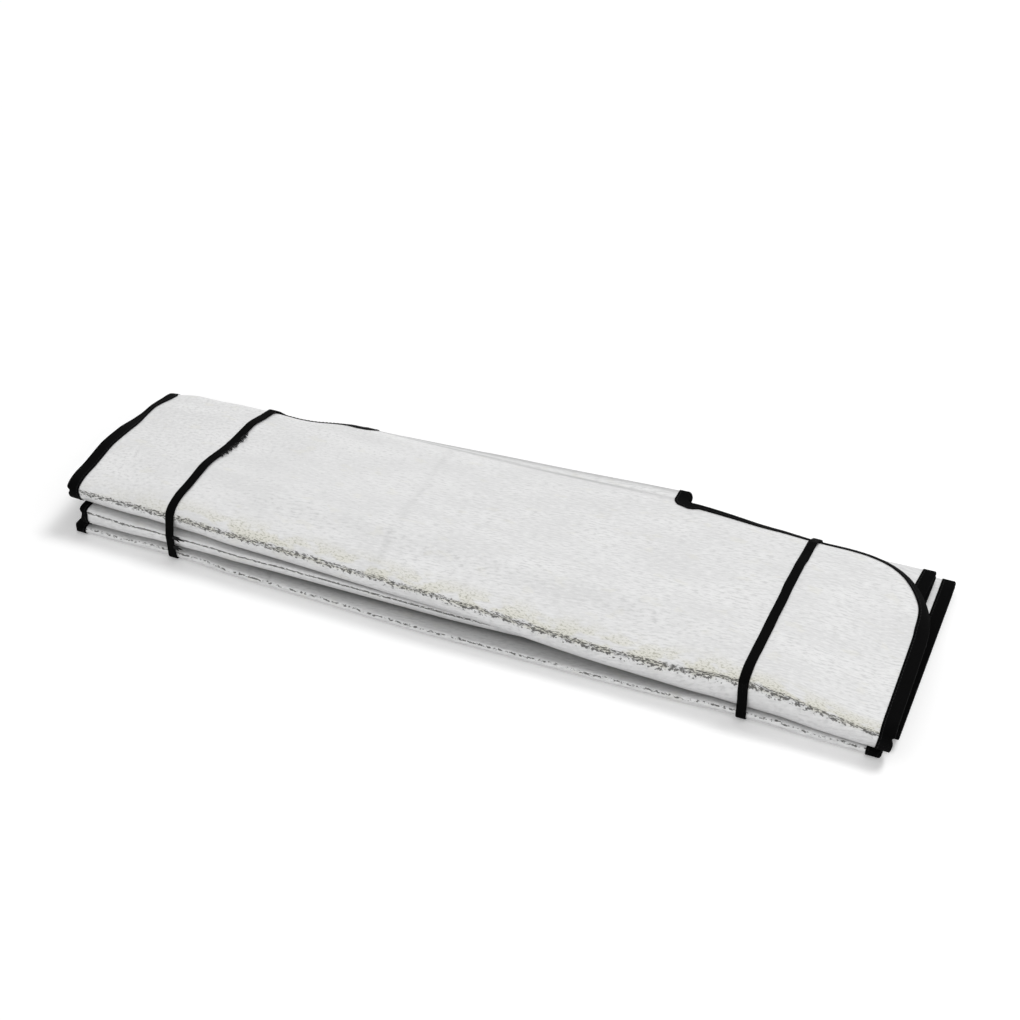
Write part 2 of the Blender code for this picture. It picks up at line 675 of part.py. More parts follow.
def main():
    for old in list(bpy.data.objects):
        bpy.data.objects.remove(old)
    foil = material("aluminised_film", (0.80, 0.81, 0.81), 0.9, 0.38)
    tape = material("polyester_tape", (0.006, 0.006, 0.006), 0.0, 0.85)
    elastic = material("knitted_elastic", (0.005, 0.005, 0.005), 0.0, 0.9)
    points, faces = flat_net()
    loop = outline_of(faces)
    made = [
        foil_sheet(points, faces, loop, foil),
        edge_binding(points, loop, tape),
        elastic_strap("elastic_strap_left", STRAP_LEFT, elastic),
        elastic_strap("elastic_strap_right", STRAP_RIGHT, elastic),
    ]
    centre_on_floor(made)


main()
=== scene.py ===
"""A foil windscreen cover, folded to and fro and held by two elastic straps, dressed round its CAD part."""

import math

import bpy
import numpy as np
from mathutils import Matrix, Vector


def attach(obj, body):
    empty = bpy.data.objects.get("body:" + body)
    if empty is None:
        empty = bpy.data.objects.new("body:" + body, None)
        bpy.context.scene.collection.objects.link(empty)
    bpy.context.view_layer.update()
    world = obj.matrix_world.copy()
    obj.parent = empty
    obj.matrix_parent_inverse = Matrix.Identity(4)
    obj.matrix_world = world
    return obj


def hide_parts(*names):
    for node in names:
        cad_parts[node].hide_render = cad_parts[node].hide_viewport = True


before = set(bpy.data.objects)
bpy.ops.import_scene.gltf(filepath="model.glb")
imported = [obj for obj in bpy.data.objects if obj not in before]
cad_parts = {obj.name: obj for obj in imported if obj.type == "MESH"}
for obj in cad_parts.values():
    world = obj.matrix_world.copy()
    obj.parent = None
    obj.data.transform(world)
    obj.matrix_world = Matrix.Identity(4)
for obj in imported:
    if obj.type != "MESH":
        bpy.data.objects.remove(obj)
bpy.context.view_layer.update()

# Foil sheet
# One sheet of 2 mm polyethylene foam with embossed aluminised film on both faces. It is cut with
# a door flap on each side, folded to and fro into six leaves, and its flaps are folded in. Flat
# places on it are `along` the bundle and `across` its leaves, from the top leaf's free side at 0.
MM = 0.001
BUNDLE_AT = np.array((-0.4619, -104.8831, 0.0)) * MM  # what centres the folded bundle's box
COVER_HEIGHT = 700 * MM
LEAF_DEPTH = 205 * MM
SHEET_THICKNESS = 2.0 * MM
CORNER_ALONG = 72 * MM
CORNER_ACROSS = 92 * MM
FLAP_WIDTH = 295 * MM
FLAP_LENGTH = 150 * MM
FLAP_CENTRE = -17 * MM
FLAP_CORNER_RADIUS = 30 * MM
FLAP_ROOT_RADIUS = 3 * MM
TOP_FLAP_LOOP = 5.0 * MM
TOP_FLAP_FOLD = (4 * MM, 14 * MM)
BOTTOM_FLAP_FOLD = (4 * MM, 4 * MM)
FLAP_EASE = 50 * MM
BINDING_WIDTH = 11 * MM
BINDING_TAPE = 0.4 * MM
SEWN_GAP = 0.3 * MM
LAYER_GAP = 0.3 * MM
STRAP_LEFT = -253 * MM
STRAP_RIGHT = 243 * MM
STRAP_LIFT = 1.4 * MM
# The leaves' shape by station along the bundle: left end, left strap, flap's left side, middle
# and right side, right strap, right end. Heights and drifts are millimetres.
STATIONS = np.array((
    -COVER_HEIGHT / 2, STRAP_LEFT, FLAP_CENTRE - FLAP_WIDTH / 2, FLAP_CENTRE,
    FLAP_CENTRE + FLAP_WIDTH / 2, STRAP_RIGHT, COVER_HEIGHT / 2,
))
# The top leaf's lofts, a row for each of its lines at a share of the depth from the front.
TOP_LINES = (0.14, 0.30, 0.55, 0.67, 0.84, 1.0)
TOP_LOFTS = (
    (28.5, 31.2, 30.8, 26.3, 20.8, 22.8, 11.5),
    (31.5, 33.6, 29.0, 22.0, 18.0, 21.3, 11.0),
    (26.5, 26.5, 20.0, 13.1, 12.1, 21.0, 9.5),
    (24.5, 26.5, 18.5, 11.0, 11.1, 20.0, 9.0),
    (18.0, 18.5, 13.0, 7.5, 8.0, 14.5, 8.5),
    (8.5, 11.5, 5.0, 0.6, 4.5, 7.0, 7.0),
)
# How far the free side rolls down, and over which width.
ROLL_DROPS = (9.0, 13.0, 4.0, 0.0, 1.0, 5.0, 7.5)
ROLL_WIDTHS = (26.0, 26.0, 26.0, 26.0, 26.0, 20.0, 16.0)
# The other leaves' lofts in front, leaf by leaf, and their shares of the top leaf's loft.
FRONT_LOFTS = (
    (14.7, 11.4, 10.3, 7.2, 5.3, 1.2, 1.2),
    (14.4, 11.1, 10.0, 6.9, 5.0, 1.0, 1.0),
    (2.1, 3.1, 3.4, 1.0, 1.0, 0.9, 0.9),
    (0.8, 0.8, 0.8, 0.8, 0.8, 0.8, 0.8),
    (0.0, 0.0, 0.0, 0.0, 0.0, 0.0, 0.0),
)
LOFT_SHARES = (1.0, 0.6, 0.48, 0.2, 0.06, 0.0)
LOFT_FADE = (1.0, 1.0, 1.0, 1.0, 0.9, 0.55, 0.1)
REAR_PINCH = 0.8
REAR_PINCH_FROM = 0.55
LIP_DROOP = (0.0, 0.0, 0.0, 0.0, 8.0, 8.5, 8.2)
LIP_DEPTH = 11 * MM
END_CURL = 4.5 * MM
END_CURL_LENGTH = 28 * MM
END_CURL_BACK = (90 * MM, 125 * MM)
# How far the free sides and fold tips drift backwards from the square, line by line.
LINE_DRIFTS = (
    (-15.0, -13.0, -11.0, -7.0, -5.0, -4.0, 3.0),
    (4.0, 3.0, 1.0, -2.0, -3.0, -3.0, -7.0),
    (-12.0, -9.0, -1.0, 1.0, 2.0, 2.0, 5.0),
    (0.0, 0.0, 2.0, 5.0, 12.0, 14.0, 13.0),
    (2.0, 3.0, 4.0, 5.0, 7.0, 8.0, 8.0),
    (1.0, 1.0, -3.0, -7.0, -5.0, -2.0, -3.0),
    (-3.0, -3.0, -3.0, -3.0, -3.0, -3.0, -3.0),
)
# How far the two ends drift to the right at each line, and the right end's waist on each leaf.
LEFT_ENDS = np.array((-8.0, -3.0, 0.0, 9.0, 0.0, 0.0, 0.0)) * MM
RIGHT_ENDS = np.array((2.0, 9.0, -8.0, 9.0, 8.0, 0.0, 0.0)) * MM
RIGHT_WAISTS = np.array((1.0, -10.0, -6.0, 0.0, 0.0, 0.0)) * MM
# Each fold's quarter ellipses: how far they reach from the tip, the sheet that they take up, and
# how high the tip lies, as a percentage of the way from the lower leaf to the upper one.
NOSE_REACH_ABOVE = np.array((26.0, 2.2, 8.0, 2.2, 2.8)) * MM
NOSE_REACH_BELOW = np.array((7.0, 2.2, 6.0, 2.2, 2.8)) * MM
NOSE_SHEET_ABOVE = np.array((31.0, 3.4, 11.0, 3.4, 4.2)) * MM
NOSE_SHEET_BELOW = np.array((15.0, 3.4, 11.0, 3.4, 4.2)) * MM
TIGHTEST_BEND = 2.0 * MM
TIP_HEIGHTS = (
    (65.0, 52.0, 58.0, 69.0, 68.0, 82.0, 78.0),
    (50.0, 50.0, 50.0, 50.0, 50.0, 50.0, 50.0),
    (83.0, 83.0, 80.0, 75.0, 60.0, 50.0, 50.0),
    (50.0, 50.0, 50.0, 50.0, 50.0, 50.0, 50.0),
    (50.0, 50.0, 50.0, 50.0, 50.0, 50.0, 50.0),
)
LEAVES = len(LOFT_SHARES)
SHEET_SPAN = LEAVES * LEAF_DEPTH
HALF_SHEET = SHEET_THICKNESS / 2
BINDING_INSIDE = HALF_SHEET + SEWN_GAP
BINDING_OUTSIDE = BINDING_INSIDE + BINDING_TAPE
PITCH = 2 * BINDING_OUTSIDE + LAYER_GAP


def smooth(share):
    """A share from 0 to 1 with level ends: three times its square less twice its cube."""
    share = np.clip(share, 0, 1)
    return share * share * (3 - 2 * share)


def eased(share):
    """Half of the straight share and half of the smooth one."""
    return 0.5 * np.clip(share, 0, 1) + 0.5 * smooth(share)


def through(places, values, at):
    """The values at the given places, each joined to the next by an eased share."""
    places = np.asarray(places)
    values = np.asarray(values, float)
    step = np.clip(np.searchsorted(places, at) - 1, 0, len(places) - 2)
    share = eased((at - places[step]) / (places[step + 1] - places[step]))
    return values[step] + (values[step + 1] - values[step]) * share


def by_station(values, along):
    """A row of millimetres, one for each station, read anywhere along the bundle."""
    return through(STATIONS, values, along) * MM


def top_loft(along, back):
    """The top leaf's loft: rows of lofts at shares of the depth, joined by eased shares."""
    share = back / LEAF_DEPTH
    rows = [by_station(row, along) for row in TOP_LOFTS]
    loft = rows[0]
    for front, rear, row, before in zip(TOP_LINES, TOP_LINES[1:], rows[1:], rows):
        loft = loft + (row - before) * eased((share - front) / (rear - front))
    at_end = 1 - eased((along + COVER_HEIGHT / 2) / END_CURL_LENGTH)
    start, full = END_CURL_BACK
    return loft - END_CURL * at_end * eased((back - start) / (full - start))


def roll_drop(along, across):
    """The rolled-down free side: its drop times the squared share of the roll's width."""
    sideways = np.clip(1 + (along - COVER_HEIGHT / 2) / CORNER_ALONG, 0, None)
    inward = np.clip(1 - across / CORNER_ACROSS, 0, None)
    total = np.maximum(sideways**2 + inward**2, 1e-9)
    size = (sideways**2 * CORNER_ALONG + inward**2 * CORNER_ACROSS) / total
    edge_distance = (1 - np.sqrt(total)) * size
    rolled = np.clip(1 - edge_distance / by_station(ROLL_WIDTHS, along), 0, 1.2) ** 2
    return by_station(ROLL_DROPS, along) * rolled * smooth(inward * 1.4)


def flap_cover(along, back):
    """1 over a folded-in flap, easing to 0 beside it and in front of it."""
    beside = np.abs(along - FLAP_CENTRE) - FLAP_WIDTH / 2 - BINDING_WIDTH
    ease = np.where(along > FLAP_CENTRE, 2 * FLAP_EASE, FLAP_EASE)
    front = LEAF_DEPTH - FLAP_LENGTH
    return (1 - eased(beside / ease)) * eased((back - front / 2) / (front / 3))


def leaf_height(leaf, along, back):
    """A leaf's height: its place in the pressed pile, plus its share of the top leaf's loft."""
    strap = np.maximum(
        1 - np.abs(along - STRAP_LEFT) / FLAP_EASE, 1 - np.abs(along - STRAP_RIGHT) / FLAP_EASE
    )
    pressed = BINDING_OUTSIDE + STRAP_LIFT * eased(2 * strap) + (LEAVES - 1 - leaf) * PITCH
    if leaf < LEAVES - 1:
        pressed = pressed + PITCH * flap_cover(along, back)
    loft = top_loft(along, back)
    if leaf == 0:
        return pressed + TOP_FLAP_LOOP * flap_cover(along, back) + loft
    pinch = eased((back / LEAF_DEPTH - REAR_PINCH_FROM) / (1 - REAR_PINCH_FROM))
    loft = loft * LOFT_SHARES[leaf] * (1 - REAR_PINCH * pinch)
    loft = loft * by_station(LOFT_FADE, along) / MM
    forward = 1 - eased(back / (LEAF_DEPTH / 2))
    loft = loft + (by_station(FRONT_LOFTS[leaf - 1], along) - loft) * forward
    if leaf == 1:
        behind = back - line_back(1, along) - NOSE_REACH_BELOW[0]
        loft = loft - by_station(LIP_DROOP, along) * (1 - smooth(behind / LIP_DEPTH))
    return pressed + loft


def line_back(line, along):
    """How far behind the bundle's front each free side or fold tip lies."""
    return (LEAF_DEPTH if line % 2 == 0 else 0.0) + by_station(LINE_DRIFTS[line], along)


def nose_shape(fold_number, along, above):
    """A fold tip's (back, height) and the signed reach of its quarter ellipse."""
    inward = 1 if fold_number % 2 == 0 else -1
    tip = line_back(fold_number + 1, along)
    upper = leaf_height(fold_number, along, tip + inward * NOSE_REACH_ABOVE[fold_number] / 2)
    lower = leaf_height(fold_number + 1, along, tip + inward * NOSE_REACH_BELOW[fold_number] / 2)
    tip_height = lower + (upper - lower) * by_station(TIP_HEIGHTS[fold_number], along) / MM / 100
    most = (NOSE_REACH_ABOVE if above else NOSE_REACH_BELOW)[fold_number]
    rise = (upper if above else lower) - tip_height
    return tip, tip_height, inward * np.minimum(most, rise * rise / TIGHTEST_BEND)


def nose(fold_number, along, sheet, above):
    """(back, height) on a fold's quarter ellipse, at a length of sheet from its tip."""
    length = (NOSE_SHEET_ABOVE if above else NOSE_SHEET_BELOW)[fold_number]
    tip, tip_height, reach = nose_shape(fold_number, along, above)
    end = leaf_height(fold_number if above else fold_number + 1, along, tip + reach)
    angle = np.clip(sheet / length, 0, 1) * math.pi / 2
    return tip + reach * (1 - np.cos(angle)), tip_height + (end - tip_height) * np.sin(angle)


def line_ends(across):
    """How far the two ends lie from the square, straight from line to line, with a waist."""
    lines = np.arange(LEAVES + 1) * LEAF_DEPTH
    leaf = np.clip(np.floor(across / LEAF_DEPTH), 0, LEAVES - 1).astype(int)
    share = np.clip(across / LEAF_DEPTH - leaf, 0, 1)
    waist = RIGHT_WAISTS[leaf] * 4 * share * (1 - share)
    return np.interp(across, lines, LEFT_ENDS), np.interp(across, lines, RIGHT_ENDS) + waist


def fold_body(along, across):
    """The six leaves: straight in back and following leaf_height, with an ellipse at each fold."""
    back = np.zeros(np.broadcast(along, across).shape)
    along, across = np.broadcast_arrays(along, across)
    height = np.zeros_like(back)
    for leaf in range(LEAVES):
        start_taken = NOSE_SHEET_BELOW[leaf - 1] if leaf else 0.0
        end_taken = NOSE_SHEET_ABOVE[leaf] if leaf < LEAVES - 1 else 0.0
        local = across - leaf * LEAF_DEPTH
        here = (local >= 0) & (local <= LEAF_DEPTH)
        if leaf == 0:
            here |= local < 0
        if leaf == LEAVES - 1:
            here |= local > LEAF_DEPTH
        start = line_back(leaf, along)
        end = line_back(leaf + 1, along)
        if leaf:
            start = start + nose_shape(leaf - 1, along, above=False)[2]
        if leaf < LEAVES - 1:
            end = end + nose_shape(leaf, along, above=True)[2]
        share = (local - start_taken) / (LEAF_DEPTH - start_taken - end_taken)
        flat_back = start + (end - start) * share
        flat_height = leaf_height(leaf, along, flat_back)
        if leaf:
            nose_back, nose_height = nose(leaf - 1, along, local, above=False)
            flat_back = np.where(local < start_taken, nose_back, flat_back)
            flat_height = np.where(local < start_taken, nose_height, flat_height)
        if leaf < LEAVES - 1:
            left = LEAF_DEPTH - local
            nose_back, nose_height = nose(leaf, along, left, above=True)
            flat_back = np.where(left < end_taken, nose_back, flat_back)
            flat_height = np.where(left < end_taken, nose_height, flat_height)
        if leaf == 0:
            flat_height = flat_height - roll_drop(along, across)
        back = np.where(here, flat_back, back)
        height = np.where(here, flat_height, height)
    left, right = line_ends(across)
    placed = along + left + (right - left) * (along / COVER_HEIGHT + 0.5)
    return np.stack((placed, back, height), axis=-1) + BUNDLE_AT


def unit(vectors):
    """Vectors divided by their own length."""
    return vectors / np.linalg.norm(vectors, axis=-1, keepdims=True)


def slopes(surface, along, across):
    """Unit vectors along and across a surface from its differences, and their cross product."""
    step = 0.05 * MM
    lengthwise = unit(surface(along + step, across) - surface(along - step, across))
    crosswise = unit(surface(along, across + step) - surface(along, across - step))
    return lengthwise, crosswise, unit(np.cross(crosswise, lengthwise))


def flap_turn(fold_out, along):
    """How far out a flap's fold lies: straight from its left value to its right one."""
    left, right = fold_out
    return left + (right - left) * np.clip((along - FLAP_CENTRE) / FLAP_WIDTH + 0.5, 0, 1)


def fold(along, across):
    """Any flat place folded, with the sheet's normal there: beyond a flap's fold it is a half
    circle, then the mirror image of the leaf under or over it."""
    points = fold_body(along, across)
    normal = slopes(fold_body, along, across)[2]
    for side, edge, loop_height, fold_out in (
        (-1, 0.0, TOP_FLAP_LOOP, TOP_FLAP_FOLD),
        (1, SHEET_SPAN, PITCH, BOTTOM_FLAP_FOLD),
    ):
        turn = edge + side * flap_turn(fold_out, along)
        folded_in = side * (across - turn) > 0
        place = along[folded_in]
        turn = turn[folded_in]
        beyond = side * (across[folded_in] - turn)
        turned = math.pi * loop_height / 2
        _, outward, upward = slopes(fold_body, place, turn)
        angle = np.minimum(beyond / (loop_height / 2), math.pi)[:, None]
        looped = fold_body(place, turn) + loop_height / 2 * (
            side * outward * np.sin(angle) - upward * (1 - np.cos(angle))
        )
        mirrored = turn - side * np.maximum(beyond - turned, 0)
        over = slopes(fold_body, place, mirrored)[2]
        tucked = fold_body(place, mirrored) - over * loop_height
        inside = (beyond > turned)[:, None]
        points[folded_in] = np.where(inside, tucked, looped)
        turning = upward * np.cos(angle) + side * outward * np.sin(angle)
        normal[folded_in] = np.where(inside, -over, turning)
    return points, normal


def inset(distance, along, across):
    """An ellipse's inset: its half width times one less the cosine of the angle at a distance."""
    share = np.clip(distance / across, 0, 1)
    return along * (1 - np.sqrt(1 - share * share))


def stepped(start, end, step):
    """Even places from just past the start up to the end, about a step apart."""
    return np.linspace(start, end, max(1, round((end - start) / step)) + 1)[1:]


ROW_STEPS = (2.6 * MM, 16 * MM, 16 * MM, 16 * MM, 16 * MM, 12 * MM)
TURN_STEPS = ((16, 10), (5, 5), (7, 7), (4, 4), (5, 5))
COLUMN_STEP = 3.3 * MM
corner_turn = np.linspace(0, math.pi / 2, 36)
corner_rows = CORNER_ACROSS - (CORNER_ACROSS - BINDING_WIDTH) * np.cos(corner_turn)
row_parts = [corner_rows]
for leaf in range(LEAVES):
    first = CORNER_ACROSS if leaf == 0 else leaf * LEAF_DEPTH + NOSE_SHEET_BELOW[leaf - 1]
    if leaf == 1:
        row_parts.append(stepped(first, first + LIP_DEPTH, 1.8 * MM))
        first += LIP_DEPTH
    tip = (leaf + 1) * LEAF_DEPTH
    if leaf == LEAVES - 1:
        row_parts.append(stepped(first, SHEET_SPAN - CORNER_ACROSS, ROW_STEPS[leaf]))
        break
    row_parts.append(stepped(first, tip - NOSE_SHEET_ABOVE[leaf], ROW_STEPS[leaf]))
    above, below = TURN_STEPS[leaf]
    row_parts.append(stepped(tip - NOSE_SHEET_ABOVE[leaf], tip, NOSE_SHEET_ABOVE[leaf] / above))
    row_parts.append(stepped(tip, tip + NOSE_SHEET_BELOW[leaf], NOSE_SHEET_BELOW[leaf] / below))
bottom_turn = np.linspace(0, math.pi / 2, 16)
bottom_rows = CORNER_ACROSS - (CORNER_ACROSS - BINDING_WIDTH) * np.cos(bottom_turn)
row_parts.append(SHEET_SPAN - bottom_rows[::-1][1:])
rows = np.concatenate(row_parts)


def flap_half_width(beyond):
    """Half a flap's width at a distance out: flared at its root and rounded at its end."""
    root = FLAP_ROOT_RADIUS + BINDING_WIDTH
    flare = inset(np.clip(FLAP_ROOT_RADIUS - beyond, 0, root), root, root)
    corner = FLAP_CORNER_RADIUS - BINDING_WIDTH
    past = np.clip(beyond - (FLAP_LENGTH - FLAP_CORNER_RADIUS), 0, corner)
    return FLAP_WIDTH / 2 - BINDING_WIDTH + flare - inset(past, corner, corner)


flat_end = COVER_HEIGHT / 2 - BINDING_WIDTH
flap_root = float(flap_half_width(np.array(-BINDING_WIDTH)))
flap_left = FLAP_CENTRE - flap_root
flap_right = FLAP_CENTRE + flap_root
left_columns = stepped(-flat_end, flap_left, COLUMN_STEP)
flap_columns = stepped(flap_left, flap_right, COLUMN_STEP)
columns = np.concatenate(
    ((-flat_end,), left_columns, flap_columns, stepped(flap_right, flat_end, COLUMN_STEP))
)
from_side = np.minimum(rows, SHEET_SPAN - rows)
right_side = flat_end - inset(
    CORNER_ACROSS - from_side, CORNER_ALONG - BINDING_WIDTH, CORNER_ACROSS - BINDING_WIDTH
)
stretch = np.clip((columns - flap_right) / (flat_end - flap_right), 0, None)
body_flat = np.stack(
    (
        columns + stretch * (right_side - flat_end)[:, None],
        np.broadcast_to(rows[:, None], (len(rows), len(columns))),
    ),
    axis=-1,
)
body_index = np.arange(body_flat[..., 0].size).reshape(body_flat.shape[:2])


def grid_faces(index):
    """Four corners for each cell of a grid of point numbers, turned the same way."""
    corners = (index[:-1, :-1], index[:-1, 1:], index[1:, 1:], index[1:, :-1])
    return np.stack(corners, axis=-1).reshape(-1, 4)


FLAP_ROW_STEP = 5 * MM
flats = [body_flat.reshape(-1, 2)]
quads = [grid_faces(body_index)]
flap_grids = []
root_columns = slice(len(left_columns), len(left_columns) + len(flap_columns) + 1)
for side, loop_height, fold_out in ((-1, TOP_FLAP_LOOP, TOP_FLAP_FOLD), (1, PITCH, BOTTOM_FLAP_FOLD)):
    shares = np.linspace(-1, 1, len(flap_columns) + 1)
    turn = flap_turn(fold_out, FLAP_CENTRE + shares * FLAP_WIDTH / 2)
    turned = turn + math.pi * loop_height / 2
    corner = FLAP_LENGTH - FLAP_CORNER_RADIUS
    root_share = stepped(0, 1, 1 / 8)[:, None]
    beyond = np.concatenate(
        (
            -BINDING_WIDTH + (turn + BINDING_WIDTH) * root_share,
            turn + (turned - turn) * stepped(0, 1, 1 / 8)[:, None],
            turned + (corner - turned) * stepped(0, 1, FLAP_ROW_STEP / corner)[:, None],
            np.broadcast_to(
                corner
                + (FLAP_CORNER_RADIUS - BINDING_WIDTH)
                * np.sin(stepped(0, math.pi / 2, math.pi / 20))[:, None],
                (10, len(shares)),
            ),
        )
    )
    flap_along = FLAP_CENTRE + shares * flap_half_width(beyond)
    flap_across = -beyond if side < 0 else SHEET_SPAN + beyond
    start = sum(len(part) for part in flats)
    index = start + np.arange(beyond.size).reshape(beyond.shape)
    flats.append(np.stack((flap_along, flap_across), axis=-1).reshape(-1, 2))
    edge_row = body_index[0 if side < 0 else -1, root_columns]
    joined = np.concatenate((edge_row[None], index))
    quads.append(grid_faces(joined[::-1] if side < 0 else joined))
    flap_grids.append(index)
top_flap, bottom_flap = flap_grids
root_left, root_right = root_columns.start, root_columns.stop - 1
outline = np.concatenate(
    (
        body_index[0, : root_left + 1],
        top_flap[:, 0],
        top_flap[-1, 1:],
        top_flap[-2::-1, -1],
        body_index[0, root_right:],
        body_index[1:, -1],
        body_index[-1, -2 : root_right - 1 : -1],
        bottom_flap[:, -1],
        bottom_flap[-1, -2::-1],
        bottom_flap[-2::-1, 0],
        body_index[-1, root_left::-1],
        body_index[-2:0:-1, 0],
    )
)


def mitres(points):
    """Outward corner vectors of a closed loop: the two sides' outward normals, mitred."""
    ahead = unit(np.roll(points, -1, axis=0) - points)
    outward = np.stack((ahead[:, 1], -ahead[:, 0]), axis=-1)
    before = np.roll(outward, 1, axis=0)
    return (outward + before) / (1 + (outward * before).sum(axis=-1, keepdims=True))


def lengths_round(points):
    """How far round a closed loop each of its points lies, and the whole way round at the end."""
    steps = np.linalg.norm(np.roll(points, -1, axis=0) - points, axis=1)
    return np.concatenate(((0,), np.cumsum(steps)))


flat = np.concatenate(flats)
inner_edge = flat[outline]
edge_away = mitres(inner_edge)
previous = outline
for share in (0.35, 0.7):
    ring = len(flat) + np.arange(len(outline))
    flat = np.concatenate((flat, inner_edge + edge_away * BINDING_WIDTH * share))
    corners = (previous, ring, np.roll(ring, -1), np.roll(previous, -1))
    quads.append(np.stack(corners, axis=-1))
    previous = ring
quads = np.concatenate(quads)


LATTICE = 509


def ripple(along, across, long, wide, seed):
    """Random heights from -1 to 1: a seeded lattice, long by wide, joined by smooth shares."""
    lattice = np.random.default_rng(seed).uniform(-1, 1, (LATTICE, LATTICE))
    i = along / long + 1000  # past every negative place, so that the lattice repeats evenly
    j = across / wide + 1000
    i_low = np.floor(i).astype(int)
    j_low = np.floor(j).astype(int)
    s = smooth(i - i_low)
    t = smooth(j - j_low)
    left, right = i_low % LATTICE, (i_low + 1) % LATTICE
    front, back = j_low % LATTICE, (j_low + 1) % LATTICE
    low = lattice[left, front] * (1 - s) + lattice[right, front] * s
    high = lattice[left, back] * (1 - s) + lattice[right, back] * s
    return low * (1 - t) + high * t


def edge_share(along, across):
    """0 under the binding and 1 from a centimetre inside it."""
    ends = COVER_HEIGHT / 2 - np.abs(along)
    sides = np.where(
        np.abs(along - FLAP_CENTRE) < FLAP_WIDTH / 2, 1.0, np.minimum(across, SHEET_SPAN - across)
    )
    sideways = np.clip(1 + (along - COVER_HEIGHT / 2) / CORNER_ALONG, 0, None)
    inward = np.clip(1 - np.minimum(across, SHEET_SPAN - across) / CORNER_ACROSS, 0, None)
    round_corner = (1 - np.hypot(sideways, inward)) * CORNER_ALONG
    nearest = np.minimum(np.minimum(ends, sides), round_corner)
    return smooth((nearest - BINDING_WIDTH) / (10 * MM))


along, across = flat[:, 0], flat[:, 1]
near_crease = np.exp(-(((across - LEAF_DEPTH) / (7 * MM)) ** 2))
wave = 0.20 * MM * ripple(along, across, 40 * MM, 19 * MM, 3)
wave += 0.07 * MM * ripple(along, across, 12 * MM, 6 * MM, 5)
wave += near_crease * 0.22 * MM * ripple(along, across, 7.5 * MM, 4.5 * MM, 8)
# A soft dent runs across the top leaf, where the cover was once folded the other way, and another
# along the top flap's root.
OLD_CREASE_AT = -80 * MM
OLD_CREASE_SLANT = 12 * MM
OLD_CREASE_DEPTH = 0.35 * MM
ROOT_DENT_DEPTH = 0.45 * MM
from_old_crease = along - OLD_CREASE_AT - OLD_CREASE_SLANT * across / LEAF_DEPTH
on_top_leaf = across < LEAF_DEPTH
wave -= OLD_CREASE_DEPTH * np.exp(-((from_old_crease / (2.5 * MM)) ** 2)) * on_top_leaf
over_flap = smooth((FLAP_WIDTH / 2 + 6 * MM - np.abs(along - FLAP_CENTRE)) / (12 * MM))
wave -= ROOT_DENT_DEPTH * np.exp(-((across / (3 * MM)) ** 2)) * over_flap
under_top = (across > LEAF_DEPTH + 12 * MM) | (across < -2 * MM)
wave = wave * np.where(under_top, 0.35, 1.0) * edge_share(along, across)
folded, sheet_normal = fold(along, across)
folded = folded + sheet_normal * wave[:, None]


def mesh_piece(name, points, faces, smooth_angle=50):
    """A mesh object with its place in its points, shaded smooth below the given angle."""
    mesh = bpy.data.meshes.new(name)
    mesh.from_pydata(points.tolist(), [], faces.tolist())
    mesh.update()
    mesh.shade_smooth()
    mesh.set_sharp_from_angle(angle=math.radians(smooth_angle))
    made = bpy.data.objects.new(name, mesh)
    bpy.context.scene.collection.objects.link(made)
    return made


def lay_map(made, name, places):
    """A UV map in metres, each corner taking the flat place of its point."""
    loops = np.empty(len(made.data.loops), np.int32)
    made.data.loops.foreach_get("vertex_index", loops)
    made.data.uv_layers.new(name=name).data.foreach_set("uv", places[loops].ravel())


film_sheet = mesh_piece("film_sheet", folded, quads)
lay_map(film_sheet, "sheet", flat)
# Four strengths for the finish: how strongly the front folds show painted shade in their crinkles,
# how far the emboss is drawn out into streaks (most at the right and in front), painted shade along
# the top flap's fold and the old fold beside it, and painted shade between the leaves, darker the
# deeper a place lies.
crease_share = through(
    (-0.35, -0.28, -0.15, -0.02, 0.08, 0.20, 0.35), (0.95, 1.0, 0.88, 0.90, 1.0, 1.0, 0.85), along
)
streak_share = smooth((along + 260 * MM + across) / (380 * MM))
# Painted shade along the top flap's fold and, fainter, along the old fold beside it.
turn_place = flap_turn(TOP_FLAP_FOLD, along)
fold_shade_share = np.exp(-(((across + turn_place) / (2.5 * MM)) ** 2))
fold_shade_share += np.exp(-((across / (1.6 * MM)) ** 2))
fold_shade_share = fold_shade_share * over_flap * (across < 4 * MM)
fold_shade_share += 0.18 * np.exp(-((from_old_crease / (3.2 * MM)) ** 2)) * on_top_leaf * (across > 0)
# Painted shade between the leaves, growing with depth behind the front folds, less at the left end.
from_front = np.abs((across % (2 * LEAF_DEPTH)) - LEAF_DEPTH)
gap_shade_share = smooth((from_front - 6 * MM) / (20 * MM)) * (across > LEAF_DEPTH)
gap_shade_share = gap_shade_share * smooth((LEAF_DEPTH - 12 * MM - from_front) / (40 * MM))
gap_shade_share = gap_shade_share * smooth((300 * MM - along) / (45 * MM))
gap_shade_share = gap_shade_share * (1 - 0.7 * smooth((-150 * MM - along) / (80 * MM)))
gap_shade_share = gap_shade_share * (across < SHEET_SPAN - LEAF_DEPTH)
strengths = {"crinkled": crease_share, "streaked": streak_share, "fold_shade": fold_shade_share, "gap_shade": gap_shade_share}
for name, share in strengths.items():
    film_sheet.data.attributes.new(name, "FLOAT", "POINT").data.foreach_set("value", share)
wall = film_sheet.modifiers.new("Wall", "SOLIDIFY")
wall.thickness = SHEET_THICKNESS
wall.offset = 0


def linear(code):
    """An sRGB hex colour as linear red, green, blue and alpha."""
    parts = np.array([int(code[n : n + 2], 16) for n in (1, 3, 5)]) / 255
    straight = np.where(parts <= 0.04045, parts / 12.92, ((parts + 0.055) / 1.055) ** 2.4)
    return (*straight.tolist(), 1.0)


